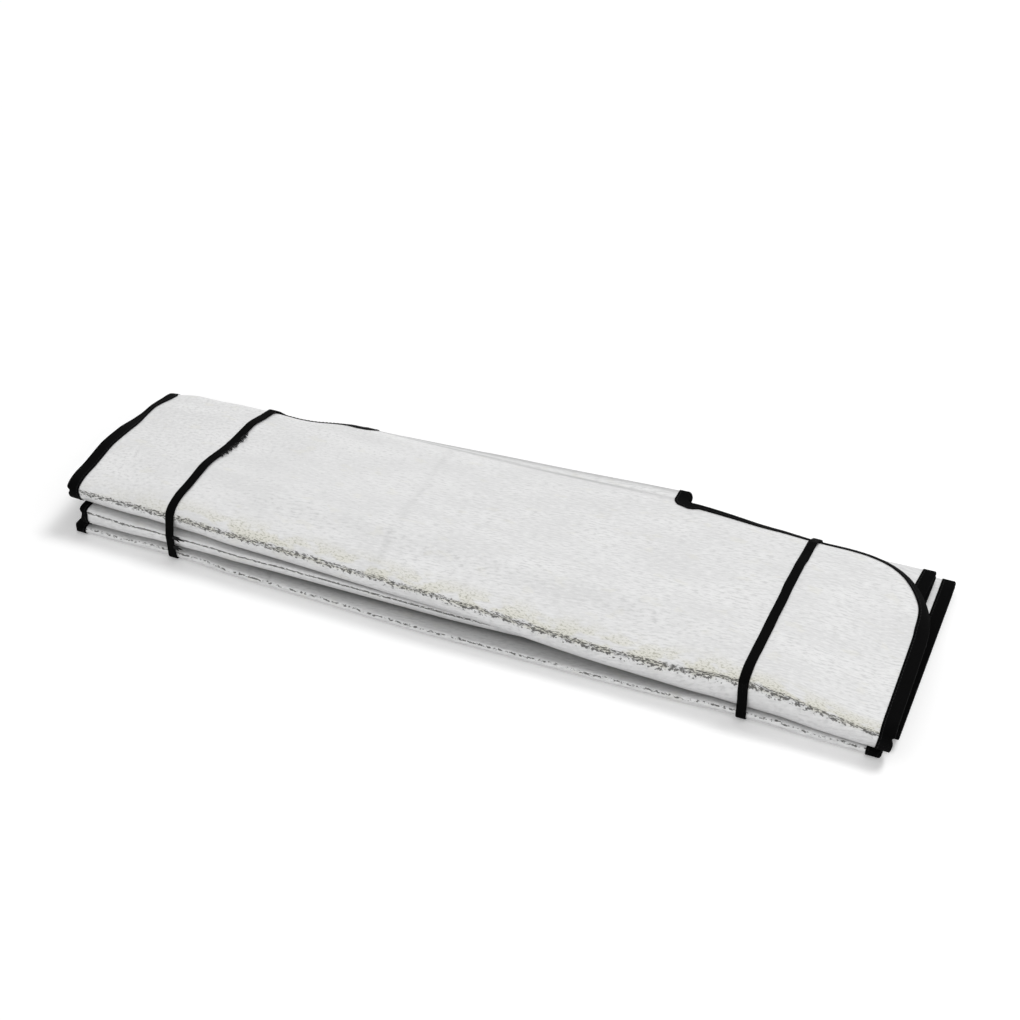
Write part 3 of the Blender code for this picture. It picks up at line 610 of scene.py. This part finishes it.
def add(tree, kind, inputs, output=0, **settings):
    """Adds a node with its settings and gives back one of its outputs. An input that is a socket
    is linked to it, and one that is a number, a vector or an sRGB hex colour is set."""
    made = tree.nodes.new("ShaderNode" + kind)
    for name, value in settings.items():
        setattr(made, name, value)
    for name, value in inputs.items():
        if isinstance(value, bpy.types.NodeSocket):
            tree.links.new(value, made.inputs[name])
        else:
            made.inputs[name].default_value = linear(value) if isinstance(value, str) else value
    return made.outputs[output]


def finish_of(name, colour, roughness, metallic=0.0, specular=0.5):
    """A material with its node tree and its Principled shader, set to even values."""
    made = bpy.data.materials.new(name)
    made.use_nodes = True
    shader = made.node_tree.nodes["Principled BSDF"]
    shader.inputs["Base Color"].default_value = linear(colour)
    shader.inputs["Roughness"].default_value = roughness
    shader.inputs["Metallic"].default_value = metallic
    shader.inputs["Specular IOR Level"].default_value = specular
    return made, made.node_tree, shader


# Embossed aluminised polyester film: vacuum-coated and rolled over soft foam, so it is a pale
# satin silver with fine short crinkles that run almost along the leaves. Where the folds were
# pressed it is crinkled, and the shade of those crinkles is painted in as small dark marks.
film, tree, shader = finish_of("aluminised_film", "#E0E0E0", 0.45, 0.35)
flat_place = add(tree, "UVMap", {}, uv_map="sheet")
crinkled, streaked, fold_shade, gap_shade = (add(tree, "Attribute", {}, "Fac", attribute_name=n) for n in strengths)
SMOOTHLY = {"interpolation_type": "SMOOTHSTEP"}


def noise_over(tree, place, long, wide, detail=2.0, slant=0.0, roughness=0.5):
    """Noise from 0 to 1 over a flat place in metres, its lumps long by wide and slanted."""
    turned = add(tree, "Mapping", {"Vector": place, "Rotation": (0, 0, slant)})
    scaled = add(tree, "VectorMath", {0: turned, 1: (1 / long, 1 / wide, 1)}, operation="MULTIPLY")
    return add(
        tree, "TexNoise",
        {"Vector": scaled, "Scale": 1.0, "Detail": detail, "Roughness": roughness}, "Fac",
    )


# The emboss: round specks, and towards the right streaks 6.5 mm long and 1.7 mm wide.
STREAK_SLANT = math.radians(9)
streaks = noise_over(tree, flat_place, 6.5 * MM, 1.7 * MM, 2.0, STREAK_SLANT, 0.6)
specks = noise_over(tree, flat_place, 3.6 * MM, 2.4 * MM, 2.0, STREAK_SLANT, 0.6)
emboss = add(tree, "Mix", {"Factor": streaked, "A": specks, "B": streaks}, "Result", data_type="FLOAT")
clouds = noise_over(tree, flat_place, 60 * MM, 26 * MM)
# Painted shade in the emboss's valleys and a painted highlight on its crests, from the same noise that
# drives the bump.
valley_shade = add(tree, "MapRange", {"Value": emboss, "From Min": 0.50, "From Max": 0.34}, **SMOOTHLY)
crest_highlight = add(tree, "MapRange", {"Value": emboss, "From Min": 0.52, "From Max": 0.66}, **SMOOTHLY)
valley_shade_strength = add(
    tree, "MapRange",
    {"Value": clouds, "From Min": 0.35, "From Max": 0.65, "To Min": 0.22, "To Max": 0.48}, **SMOOTHLY,
)
valley_shade = add(tree, "Math", {0: valley_shade, 1: valley_shade_strength}, operation="MULTIPLY")

# The fold lines: painted shade of the crinkles, as dark marks in a band along each front fold, 5 mm
# wide at the top one, narrower below, thinning out from the fold; the same marks dent the bump. The
# fold itself wanders by 1.5 mm. The top fold's share is 1 on the upper two leaves, and the low
# fold's on the lowest two.
TOP_BAND, MIDDLE_BAND, LOW_BAND = 5.0 * MM, 2.2 * MM, 1.0 * MM
across_place = add(tree, "SeparateXYZ", {0: flat_place}, "Y")
wander = noise_over(tree, flat_place, 26 * MM, 1.0)
wander = add(tree, "Math", {0: wander, 1: 3.0 * MM, 2: -1.5 * MM}, operation="MULTIPLY_ADD")
wandered = add(tree, "Math", {0: across_place, 1: wander}, operation="ADD")
in_pair = add(tree, "Math", {0: wandered, 1: 2 * LEAF_DEPTH}, operation="FLOORED_MODULO")
above_fold = add(tree, "Math", {0: LEAF_DEPTH - 2 * MM, 1: in_pair}, operation="SUBTRACT")
off_fold = add(tree, "Math", {0: above_fold}, operation="ABSOLUTE")
top_fold = add(
    tree, "MapRange",
    {"Value": across_place, "From Min": 0.39, "From Max": 0.40, "To Min": 1.0, "To Max": 0.0}, **SMOOTHLY,
)
low_fold = add(tree, "MapRange", {"Value": across_place, "From Min": 0.80, "From Max": 0.84}, **SMOOTHLY)
band = add(
    tree, "Math", {0: top_fold, 1: TOP_BAND - MIDDLE_BAND, 2: MIDDLE_BAND}, operation="MULTIPLY_ADD"
)
band = add(tree, "Math", {0: low_fold, 1: LOW_BAND - MIDDLE_BAND, 2: band}, operation="MULTIPLY_ADD")
from_fold = add(tree, "Math", {0: off_fold, 1: band}, operation="DIVIDE")
near_fold = add(
    tree, "MapRange",
    {"Value": from_fold, "From Min": 0.35, "From Max": 1.35, "To Min": 1.0, "To Max": 0.0}, **SMOOTHLY,
)
most_crinkle_marks = add(tree, "Math", {0: top_fold, 1: -0.05, 2: 0.60}, operation="MULTIPLY_ADD")
most_crinkle_marks = add(tree, "Math", {0: low_fold, 1: -0.08, 2: most_crinkle_marks}, operation="MULTIPLY_ADD")
least_crinkle_marks = add(tree, "Math", {0: top_fold, 1: -0.02, 2: 0.28}, operation="MULTIPLY_ADD")
crinkle_marks_to = add(
    tree, "Mix", {"Factor": near_fold, "A": least_crinkle_marks, "B": most_crinkle_marks}, "Result", data_type="FLOAT"
)
crinkling = add(tree, "Math", {0: crinkled, 1: 0.2, 2: 0.8}, operation="MULTIPLY_ADD")
crinkle_marks_to = add(tree, "Math", {0: crinkle_marks_to, 1: crinkling}, operation="MULTIPLY")
# Painted shade of the folds' crinkles: dark marks, which also dent the bump.
crinkle_noise = noise_over(tree, flat_place, 3.4 * MM, 1.6 * MM, 3.0, 0.0, 0.65)
crinkle_dent_and_shade = add(tree, "Math", {0: crinkle_marks_to, 1: crinkle_noise}, operation="SUBTRACT")
crinkle_dent_and_shade = add(tree, "MapRange", {"Value": crinkle_dent_and_shade, "From Min": -0.01, "From Max": 0.08}, **SMOOTHLY)

# The rub: patches up to 26 mm above the top fold, most where the film is streaked, and speckled.
rubbed = add(
    tree, "MapRange", {"Value": above_fold, "From Min": 26 * MM, "From Max": 6 * MM}, **SMOOTHLY
)
over_fold = add(
    tree, "MapRange", {"Value": above_fold, "From Min": -4 * MM, "From Max": -1 * MM}, **SMOOTHLY
)
patches = noise_over(tree, flat_place, 22 * MM, 12 * MM)
in_patch = add(tree, "MapRange", {"Value": patches, "From Min": 0.38, "From Max": 0.55}, **SMOOTHLY)
more_right = add(
    tree, "MapRange",
    {"Value": streaked, "From Min": 0.3, "From Max": 0.85, "To Min": 0.25, "To Max": 1.0}, **SMOOTHLY,
)
for share in (top_fold, over_fold, in_patch, more_right):
    rubbed = add(tree, "Math", {0: rubbed, 1: share}, operation="MULTIPLY")
speckled = noise_over(tree, flat_place, 2.6 * MM, 1.6 * MM, 2.0, 0.0, 0.6)
speckled = add(tree, "MapRange", {"Value": speckled, "From Min": 0.49, "From Max": 0.38}, **SMOOTHLY)
speckled = add(tree, "Math", {0: rubbed, 1: speckled}, operation="MULTIPLY")
yellowed = add(
    tree, "MapRange", {"Value": patches, "From Min": 0.60, "From Max": 0.70, "To Max": 0.28}, **SMOOTHLY
)
yellowed = add(tree, "Math", {0: rubbed, 1: yellowed}, operation="MAXIMUM")

# Colour: silver in faint clouds, with a painted highlight on its crests and painted shade in its
# valleys, yellower where the pressed fold rubbed the coating, painted shade between the leaves and
# along the top flap's fold, and dark painted shade in the front folds' crinkles. Each is laid over
# the ones before it, by its place times its strength.
cloudy = add(tree, "MapRange", {"Value": clouds, "From Min": 0.3, "From Max": 0.7}, **SMOOTHLY)
colour = add(
    tree, "Mix", {"Factor": cloudy, "A": "#DCDCDC", "B": "#E4E4E4"}, "Result", data_type="RGBA"
)
for share, strength, over in (
    (crest_highlight, 0.40, "#F0F0F0"), (valley_shade, 1.0, "#BDBDBD"), (yellowed, 0.70, "#DDDBCE"),
    (speckled, 0.75, "#A3A293"), (gap_shade, 0.85, "#585858"), (fold_shade, 0.75, "#ABABAB"),
    (crinkle_dent_and_shade, 0.88, "#40403D"),
):
    laid = add(tree, "Math", {0: share, 1: strength}, operation="MULTIPLY")
    colour = add(tree, "Mix", {"Factor": laid, "A": colour, "B": over}, "Result", data_type="RGBA")
tree.links.new(colour, shader.inputs["Base Color"])
gloss = add(
    tree, "MapRange",
    {"Value": emboss, "From Min": 0.3, "From Max": 0.7, "To Min": 0.52, "To Max": 0.40}, **SMOOTHLY,
)
tree.links.new(gloss, shader.inputs["Roughness"])
relief = add(tree, "Math", {0: crinkle_dent_and_shade, 1: -0.8, 2: emboss}, operation="MULTIPLY_ADD")
bump = add(tree, "Bump", {"Height": relief, "Strength": 0.5, "Distance": 0.6 * MM})
tree.links.new(bump, shader.inputs["Normal"])
film_sheet.data.materials.append(film)

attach(film_sheet, "root")
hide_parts("foil_sheet")

# Edge binding
# A black woven polyester tape, folded over the sheet's cut edge all the way round and sewn
# through with one row of lockstitch near its inner side.
TAPE_LUMP = 0.12 * MM
FOLDED_IN = 2.4 * MM  # how much the tape's edge draws in where it goes round a fold
fold_line = np.round(inner_edge[:, 1] / LEAF_DEPTH)
at_fold = (fold_line > 0) & (fold_line < LEAVES) & (np.abs(edge_away[:, 1]) < 0.3)
from_line = (inner_edge[:, 1] - fold_line * LEAF_DEPTH) / (2.6 * MM)
tape_width = BINDING_WIDTH - FOLDED_IN * np.exp(-(from_line**2)) * at_fold
# Beside the top right flap the tape is rounded off: narrow at the flap's fold and full below it.
ear = (np.abs(edge_away[:, 1]) < 0.3) & (inner_edge[:, 1] < 0) & (inner_edge[:, 0] > FLAP_CENTRE)
from_ear = inner_edge[:, 1] + TOP_FLAP_FOLD[1]
tape_width -= 3.5 * MM * np.exp(-((from_ear / (4 * MM)) ** 2)) * ear
tape_width += 2.5 * MM * np.exp(-(((from_ear - 8 * MM) / (4 * MM)) ** 2)) * ear
outer_edge = inner_edge + edge_away * tape_width[:, None]
just_inside = outer_edge - edge_away * 0.05 * MM
outer_place, outer_normal = fold(*outer_edge.T)
outward = unit(outer_place - fold(*just_inside.T)[0])
run = lengths_round(outer_edge)[:-1]
# The tape isn't sewn on evenly: on the top face it covers less round the right corner and along
# the free side there, and at the left end's middle. It is the share of its width left bare.
edge_along, edge_across = inner_edge.T
past_flap = edge_along - FLAP_CENTRE - FLAP_WIDTH / 2 - BINDING_WIDTH
bare = 0.30 * smooth((82 * MM - edge_across) / (30 * MM)) * smooth((past_flap + 5 * MM) / (8 * MM))
bare += 0.45 * np.exp(-(((edge_across - 58 * MM) / (26 * MM)) ** 2)) * (edge_along < -0.3)
bare += 0.40 * np.exp(-(((edge_across - 3 * LEAF_DEPTH) / (40 * MM)) ** 2)) * (edge_along < -0.3)
bare += 0.70 * smooth((-236 * MM - edge_along) / (40 * MM)) * smooth((22 * MM - edge_across) / (14 * MM))
bare = bare * (edge_across > -BINDING_WIDTH)


def tape_line(share, height):
    """A line along the tape: a share of the way from its top face's inner side to the cut edge,
    or on the under face from the even inner side, and a height off the sheet's middle."""
    start = bare if height > 0 else 0 * bare
    out = ((start + (1 - start) * share) * tape_width)[:, None]
    middle, normal = fold(*(inner_edge + edge_away * out).T)
    return middle + normal * height


def closed_faces(shape):
    """Four-sided faces of a grid of points of the given shape, closed to a ring in both ways."""
    index = np.arange(math.prod(shape)).reshape(shape)
    index = np.concatenate((index, index[:1]))
    return grid_faces(np.concatenate((index, index[:, :1]), axis=1))


half_turn = np.linspace(math.pi / 2, -math.pi / 2, 9)
lump = TAPE_LUMP * ripple(run, run * 0, 4 * MM, 1.0, 21)[:, None]
section = [tape_line(0.0, BINDING_INSIDE), tape_line(0.0, BINDING_OUTSIDE - 0.05 * MM)]
section += [tape_line(0.04, BINDING_OUTSIDE + 0.05 * MM)]
section += [tape_line(share, BINDING_OUTSIDE) for share in (0.14, 0.22, 0.5, 0.8)]
section += [
    outer_place
    + outer_normal * BINDING_OUTSIDE * math.sin(turn)
    + outward * (SEWN_GAP + BINDING_TAPE) * math.cos(turn)
    for turn in half_turn
]
section += [tape_line(share, -BINDING_OUTSIDE) for share in (0.8, 0.5, 0.22, 0.14)]
section += [tape_line(0.04, -BINDING_OUTSIDE - 0.05 * MM)]
section += [tape_line(0.0, -BINDING_OUTSIDE + 0.05 * MM), tape_line(0.0, -BINDING_INSIDE)]
section += [tape_line(0.97, -BINDING_INSIDE), tape_line(0.97, BINDING_INSIDE)]
section = np.stack(section)
section[5:18] = section[5:18] + outer_normal * lump * 0.5
tape_faces = closed_faces(section.shape[:2])[:, ::-1]
tape = mesh_piece("edge_tape", section.reshape(-1, 3), tape_faces, 60)
tape_place = np.stack(
    (
        np.broadcast_to(run, section.shape[:2]),
        np.broadcast_to(np.arange(len(section))[:, None] * 0.9 * MM, section.shape[:2]),
    ),
    axis=-1,
)
lay_map(tape, "tape", tape_place.reshape(-1, 2))

# Woven polyester tape, dyed black: matt, with fine crosswise ribs. The real ribs are 0.4 mm apart,
# too fine to show, so they are drawn 1.2 mm apart.
RIB = 1.2 * MM
weave, tree, shader = finish_of("polyester_tape", "#060606", 0.85, specular=0.04)
tape_uv = add(tree, "UVMap", {}, uv_map="tape")
ribs = add(
    tree, "TexWave",
    {
        "Vector": tape_uv, "Scale": 2 * math.pi / 20 / RIB,
        "Distortion": 0.6, "Detail": 1.0, "Detail Scale": 300.0,
    },
    "Fac", bands_direction="X",
)
fuzz = add(tree, "TexNoise", {"Vector": tape_uv, "Scale": 900.0, "Detail": 2.0}, "Fac")
tape_tone = add(tree, "Math", {0: ribs, 1: fuzz}, operation="MULTIPLY")
tape_colour = add(
    tree, "Mix", {"Factor": tape_tone, "A": "#030303", "B": "#0C0C0D"}, "Result", data_type="RGBA"
)
tree.links.new(tape_colour, shader.inputs["Base Color"])
tape_bump = add(tree, "Bump", {"Height": tape_tone, "Strength": 0.5, "Distance": 0.2 * MM})
tree.links.new(tape_bump, shader.inputs["Normal"])
tape.data.materials.append(weave)
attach(tape, "root")
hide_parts("edge_binding")

# Lockstitch: 2.6 mm stitches of black thread every 3.6 mm, 2 mm in from the tape's inner side,
# each sinking into the tape at its two ends.
STITCH = 2.6 * MM
STITCH_PITCH = 3.6 * MM
STITCH_IN = 2.0 * MM
HALF_THREAD = 0.22 * MM
inner_run = lengths_round(inner_edge)
starts = np.arange(0, inner_run[-1] - STITCH_PITCH, STITCH_PITCH)
along_stitch = np.linspace(0, 1, 5)
at = (starts[:, None] + STITCH * along_stitch).ravel()
ring_edge = np.concatenate((inner_edge, inner_edge[:1]))
ring_away = np.concatenate((edge_away, edge_away[:1]))
stitch_flat = np.stack([np.interp(at, inner_run, ring_edge[:, n]) for n in (0, 1)], axis=-1)
stitch_away = np.stack([np.interp(at, inner_run, ring_away[:, n]) for n in (0, 1)], axis=-1)
stitch_bare = np.interp(at, inner_run, np.concatenate((bare, bare[:1])))[:, None]
stitch_flat = stitch_flat + stitch_away * (STITCH_IN + stitch_bare * BINDING_WIDTH)
stitch_place, stitch_normal = fold(*stitch_flat.T)
stitch_side = unit(fold(*(stitch_flat + stitch_away * 0.3 * MM).T)[0] - stitch_place)
arch = np.tile(np.sin(along_stitch * math.pi), len(starts))[:, None]


def tube_faces(number):
    """Faces of tubes from their point numbers, by tube, station and place round it: four-sided
    cells with the last place joined to the first, and two faces closing each end of six places."""
    wrapped = np.concatenate((number, number[:, :, :1]), axis=2)
    cells = (wrapped[:, :-1, :-1], wrapped[:, 1:, :-1], wrapped[:, 1:, 1:], wrapped[:, :-1, 1:])
    faces = [np.stack(cells, axis=-1).reshape(-1, 4)]
    for cap in (number[:, 0], number[:, -1, ::-1]):
        faces += [cap[:, [0, 1, 2, 3]], cap[:, [0, 3, 4, 5]]]
    return np.concatenate(faces)


round_tube = np.linspace(0, 2 * math.pi, 7)[:-1]
threads = []
thread_faces = []
for face in (1, -1):
    height = BINDING_OUTSIDE - 0.12 * MM + arch * 0.22 * MM
    centre = stitch_place + face * stitch_normal * height
    around = [
        centre + HALF_THREAD * (math.cos(turn) * stitch_side + math.sin(turn) * stitch_normal)
        for turn in round_tube
    ]
    tube = np.stack(around, axis=1).reshape(len(starts), len(along_stitch), len(round_tube), 3)
    base = sum(len(part) for part in threads)
    thread_faces.append(tube_faces(base + np.arange(tube[..., 0].size).reshape(tube.shape[:3])))
    threads.append(tube.reshape(-1, 3))
stitches = mesh_piece("binding_stitches", np.concatenate(threads), np.concatenate(thread_faces), 60)
thread, tree, shader = finish_of("polyester_thread", "#121213", 0.6, specular=0.15)
thread_place = add(tree, "TexCoord", {}, "Object")
thread_noise = add(tree, "TexNoise", {"Vector": thread_place, "Scale": 1500.0, "Detail": 1.0}, "Fac")
thread_colour = add(
    tree, "Mix", {"Factor": thread_noise, "A": "#0A0A0A", "B": "#1A1A1B"}, "Result", data_type="RGBA"
)
tree.links.new(thread_colour, shader.inputs["Base Color"])
stitches.data.materials.append(thread)
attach(stitches, "root")

# Elastic straps
# Two flat knitted elastic bands, 8 mm wide, each closed to a loop by a sewn lap and stretched
# round the bundle. They lie in the top leaf's hollows and pull straight between the folds.
STRAP_WIDTH = 8 * MM
STRAP_THICKNESS = 1.0 * MM
STRAP_GAP = 0.4 * MM


def strap_loop(place):
    """The taut loop round the sheet at a place: the outline's farthest point in each direction."""
    across = np.linspace(0, SHEET_SPAN, 4000)
    left, right = line_ends(across)
    flat_along = (place - (left + right) / 2) / (1 + (right - left) / COVER_HEIGHT)
    outline = np.concatenate([
        fold_body(flat_along + side * STRAP_WIDTH / 2, across)[:, 1:] for side in (-1, 0, 1)
    ])
    sides = np.minimum(across, SHEET_SPAN - across)
    bound = math.hypot(BINDING_OUTSIDE, SEWN_GAP + BINDING_TAPE)
    lift = np.where(sides < 1.5 * BINDING_WIDTH, bound, HALF_SHEET)
    reach = np.tile(lift + STRAP_GAP + STRAP_THICKNESS / 2, 3)
    turn = np.linspace(0, 2 * math.pi, 2881)[:-1]
    aim = np.stack((np.cos(turn), np.sin(turn)), axis=-1)
    farthest = (outline @ aim.T + reach[:, None]).argmax(axis=0)
    corners = outline[farthest] + reach[farthest, None] * aim
    corners[:, 1] = np.maximum(corners[:, 1], STRAP_THICKNESS / 2)
    closed = np.concatenate((corners, corners[:1]))
    run = lengths_round(corners)
    at = np.linspace(0, run[-1], 481)[:-1]
    loop = np.stack([np.interp(at, run, closed[:, n]) for n in (0, 1)], axis=-1)
    top = np.tile(across < LEAF_DEPTH, 3)
    apart = loop[:, None, 0] - outline[top, 0]
    within = np.clip(reach[top] ** 2 - apart * apart, 0, None)
    lying = np.where(within > 0, outline[top, 1] + np.sqrt(within), 0).max(axis=1)
    tip_height = nose_shape(0, np.array(place), above=True)[1]
    rear = line_back(0, place) + BUNDLE_AT[1]
    over = (loop[:, 1] > tip_height) & (loop[:, 0] < rear) & (lying > 0)
    loop[over, 1] = np.minimum(loop[over, 1], lying[over])
    return loop


def strap_band(name, place):
    """A band: its rounded section, ribbed outside and plain inside, carried round its loop."""
    loop = strap_loop(place)
    ahead = unit(np.roll(loop, -1, axis=0) - np.roll(loop, 1, axis=0))
    outward = np.stack((ahead[:, 1], -ahead[:, 0]), axis=-1)
    width = np.linspace(-1, 1, 31)
    ribs = 0.09 * MM * np.cos(width * math.pi * 7)
    bulge = STRAP_THICKNESS / 2 * np.sqrt(1 - np.clip(np.abs(width) * 1.02, 0, 1) ** 14)
    run = np.arange(len(loop)) * np.linalg.norm(loop[1] - loop[0])
    waver = 0.15 * MM * ripple(run, run * 0, 9 * MM, 1.0, 31)
    narrowing = 1 + 0.03 * ripple(run, run * 0, 14 * MM, 1.0, 33)
    faces_of = np.concatenate((bulge + ribs * (bulge > 0.3 * MM), -bulge[::-1]))
    over = np.concatenate((width, width[::-1]))
    x = place + BUNDLE_AT[0] + waver[:, None] + over * (STRAP_WIDTH / 2) * narrowing[:, None]
    flat_place = loop[:, None] + outward[:, None] * faces_of[None, :, None]
    points = np.concatenate((x[..., None], flat_place), axis=-1)
    made = mesh_piece(name, points.reshape(-1, 3), closed_faces(x.shape), 60)
    band_place = np.stack(
        (np.broadcast_to(run[:, None], x.shape), np.broadcast_to(over * STRAP_WIDTH / 2, x.shape)),
        axis=-1,
    )
    lay_map(made, "band", band_place.reshape(-1, 2))
    return made


# Knitted elastic: covered rubber threads side by side, so it is dull black with ribs along its
# length and fine cross threads 1 mm apart where it is stretched.
CROSS_THREAD = 1.0 * MM
elastic, tree, shader = finish_of("knitted_elastic", "#060606", 0.88, specular=0.04)
band_uv = add(tree, "UVMap", {}, uv_map="band")
cross = add(
    tree, "TexWave",
    {
        "Vector": band_uv, "Scale": 2 * math.pi / 20 / CROSS_THREAD,
        "Distortion": 1.0, "Detail Scale": 400.0,
    },
    "Fac", bands_direction="X",
)
band_colour = add(
    tree, "Mix", {"Factor": cross, "A": "#030303", "B": "#0C0C0C"}, "Result", data_type="RGBA"
)
tree.links.new(band_colour, shader.inputs["Base Color"])
band_bump = add(tree, "Bump", {"Height": cross, "Strength": 0.5, "Distance": 0.2 * MM})
tree.links.new(band_bump, shader.inputs["Normal"])
for name, place in (("strap_left", STRAP_LEFT), ("strap_right", STRAP_RIGHT)):
    band = strap_band(name, place)
    band.data.materials.append(elastic)
    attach(band, "root")
    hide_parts("elastic_" + name)

# Where the left strap's lap was cut and sewn, and along one worn stretch of its side, short ends of
# its covering yarn stick out. Each is a tapered wisp: a cone bent along a gentle curve.
loop = strap_loop(STRAP_LEFT)
strap_side = STRAP_LEFT + BUNDLE_AT[0] + STRAP_WIDTH / 2
in_front = loop[loop[:, 0] < BUNDLE_AT[1] + 20 * MM]
on_top = loop[(loop[:, 0] > BUNDLE_AT[1] + 82 * MM) & (loop[:, 0] < BUNDLE_AT[1] + 128 * MM)]
on_top = on_top[on_top[:, 1] > 15 * MM]
yarn = np.random.default_rng(12)
roots, reaches, thick = [], [], []
for height, longest in ((25 * MM, 11 * MM), (15 * MM, 8 * MM)):
    nearest = in_front[np.abs(in_front[:, 1] - height).argmin()]
    for lift in (2.4 * MM, 0.0, -2.6 * MM):
        roots.append((strap_side - 0.8 * MM, *nearest))
        reaches.append((longest * (1 - abs(lift) / (6 * MM)), -0.3 * MM, lift))
        thick.append(1.3 * MM)
for place in on_top[yarn.integers(0, len(on_top), 34)]:
    roots.append((strap_side - 0.6 * MM, place[0], place[1] + yarn.uniform(-0.3, 0.5) * MM))
    reaches.append(tuple(yarn.uniform((1.6, -3.4, -0.2), (4.4, 0.6, 0.8)) * MM))
    thick.append(yarn.uniform(0.40, 0.80) * MM)
roots, reaches, thick = np.array(roots), np.array(reaches), np.array(thick)
share = np.linspace(0, 1, 6)
bend = np.array((0.0, 0.0, -0.12)) * np.linalg.norm(reaches, axis=1)[:, None]
line = roots[:, None] + reaches[:, None] * share[:, None] + bend[:, None] * (share**2)[:, None]
aside = unit(np.cross(reaches, (0.0, 0.0, 1.0)))
above = unit(np.cross(aside, reaches))
girth = (thick[:, None] * (1 - share) ** 0.7 + 0.06 * MM)[:, :, None, None]
sideways, upward = np.cos(round_tube)[:, None], np.sin(round_tube)[:, None]
spokes = aside[:, None, None] * sideways + above[:, None, None] * upward
wisps = line[:, :, None] + girth * spokes
wisp_faces = tube_faces(np.arange(wisps[..., 0].size).reshape(wisps.shape[:3]))[:, ::-1]
loose_yarn = mesh_piece("loose_yarn", wisps.reshape(-1, 3), wisp_faces, 60)
loose_yarn.data.materials.append(thread)
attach(loose_yarn, "root")

# Studio
# A white card floor, a large soft box above and behind, a weaker one in front, and an even white
# surround. The lens stands 1.6 m off, 23 degrees to the right and looking 37 degrees down.
world = bpy.data.worlds.new("studio")
world.use_nodes = True
bpy.context.scene.world = world
tree = world.node_tree
background = tree.nodes["Background"]
background.inputs["Color"].default_value = (1, 1, 1, 1)
path = add(tree, "LightPath", {}).node.outputs
seen = add(tree, "Math", {0: path["Is Camera Ray"], 1: path["Is Transmission Ray"]}, operation="MAXIMUM")
seen = add(tree, "Math", {0: seen, 1: path["Is Glossy Ray"]}, operation="MAXIMUM")
level = add(tree, "MapRange", {"Value": seen, "To Min": 0.50, "To Max": 1.0})
tree.links.new(level, background.inputs["Strength"])

HALF_FLOOR = 6.0
floor_points = HALF_FLOOR * np.array(((-1, -1, 0), (1, -1, 0), (1, 1, 0), (-1, 1, 0)))
floor = mesh_piece("floor", floor_points, np.array(((0, 1, 2, 3),)))
# White card, matt. Its own glow makes up for the lamps' light, more so far from the middle, and
# only to the eye.
paper, tree, shader = finish_of("white_card", "#F2F2F2", 0.9)
shader.inputs["Emission Color"].default_value = (1, 1, 1, 1)
path = add(tree, "LightPath", {}).node.outputs
seen = add(tree, "Math", {0: path["Is Camera Ray"], 1: path["Is Glossy Ray"]}, operation="MAXIMUM")
from_middle = add(tree, "VectorMath", {0: add(tree, "TexCoord", {}, "Object")}, "Value", operation="LENGTH")
glow = add(
    tree, "MapRange",
    {"Value": from_middle, "From Min": 0.9, "From Max": 4.2, "To Min": 0.19, "To Max": 1.0}, **SMOOTHLY,
)
glow = add(tree, "Math", {0: seen, 1: glow}, operation="MULTIPLY")
tree.links.new(glow, shader.inputs["Emission Strength"])
floor.data.materials.append(paper)


def soft_box(name, place, aim, size, power):
    """A square lamp at a place, turned to face a point."""
    lamp = bpy.data.lights.new(name, "AREA")
    lamp.shape = "SQUARE"
    lamp.size = size
    lamp.energy = power
    made = bpy.data.objects.new(name, lamp)
    bpy.context.scene.collection.objects.link(made)
    made.location = place
    made.rotation_euler = (Vector(aim) - Vector(place)).to_track_quat("-Z", "Y").to_euler()
    made.visible_glossy = False
    return made


soft_box("soft_box_above", (1.35, 1.45, 3.9), (0, 0, 0), 1.5, 96)
soft_box("soft_box_in_front", (0.8, -2.5, 1.5), (0, 0, 0), 2.0, 15)

VIEW_AZIMUTH = math.radians(23)
VIEW_ELEVATION = math.radians(36.7)
LENS_PLACE = (0.4975381, -1.1538831, 0.990)
PICTURE_WIDTH = 1020
FOCAL_PIXELS = 1912
SENSOR_WIDTH = 36
lens_back = Vector((
    math.sin(VIEW_AZIMUTH) * math.cos(VIEW_ELEVATION),
    -math.cos(VIEW_AZIMUTH) * math.cos(VIEW_ELEVATION),
    math.sin(VIEW_ELEVATION),
))
lens = bpy.data.cameras.new("lens")
lens.lens = FOCAL_PIXELS / PICTURE_WIDTH * SENSOR_WIDTH
lens.sensor_width = SENSOR_WIDTH
camera = bpy.data.objects.new("camera", lens)
bpy.context.scene.collection.objects.link(camera)
camera.location = LENS_PLACE
camera.rotation_euler = (-lens_back).to_track_quat("-Z", "Y").to_euler()
bpy.context.scene.camera = camera
bpy.context.scene.view_settings.view_transform = "Standard"
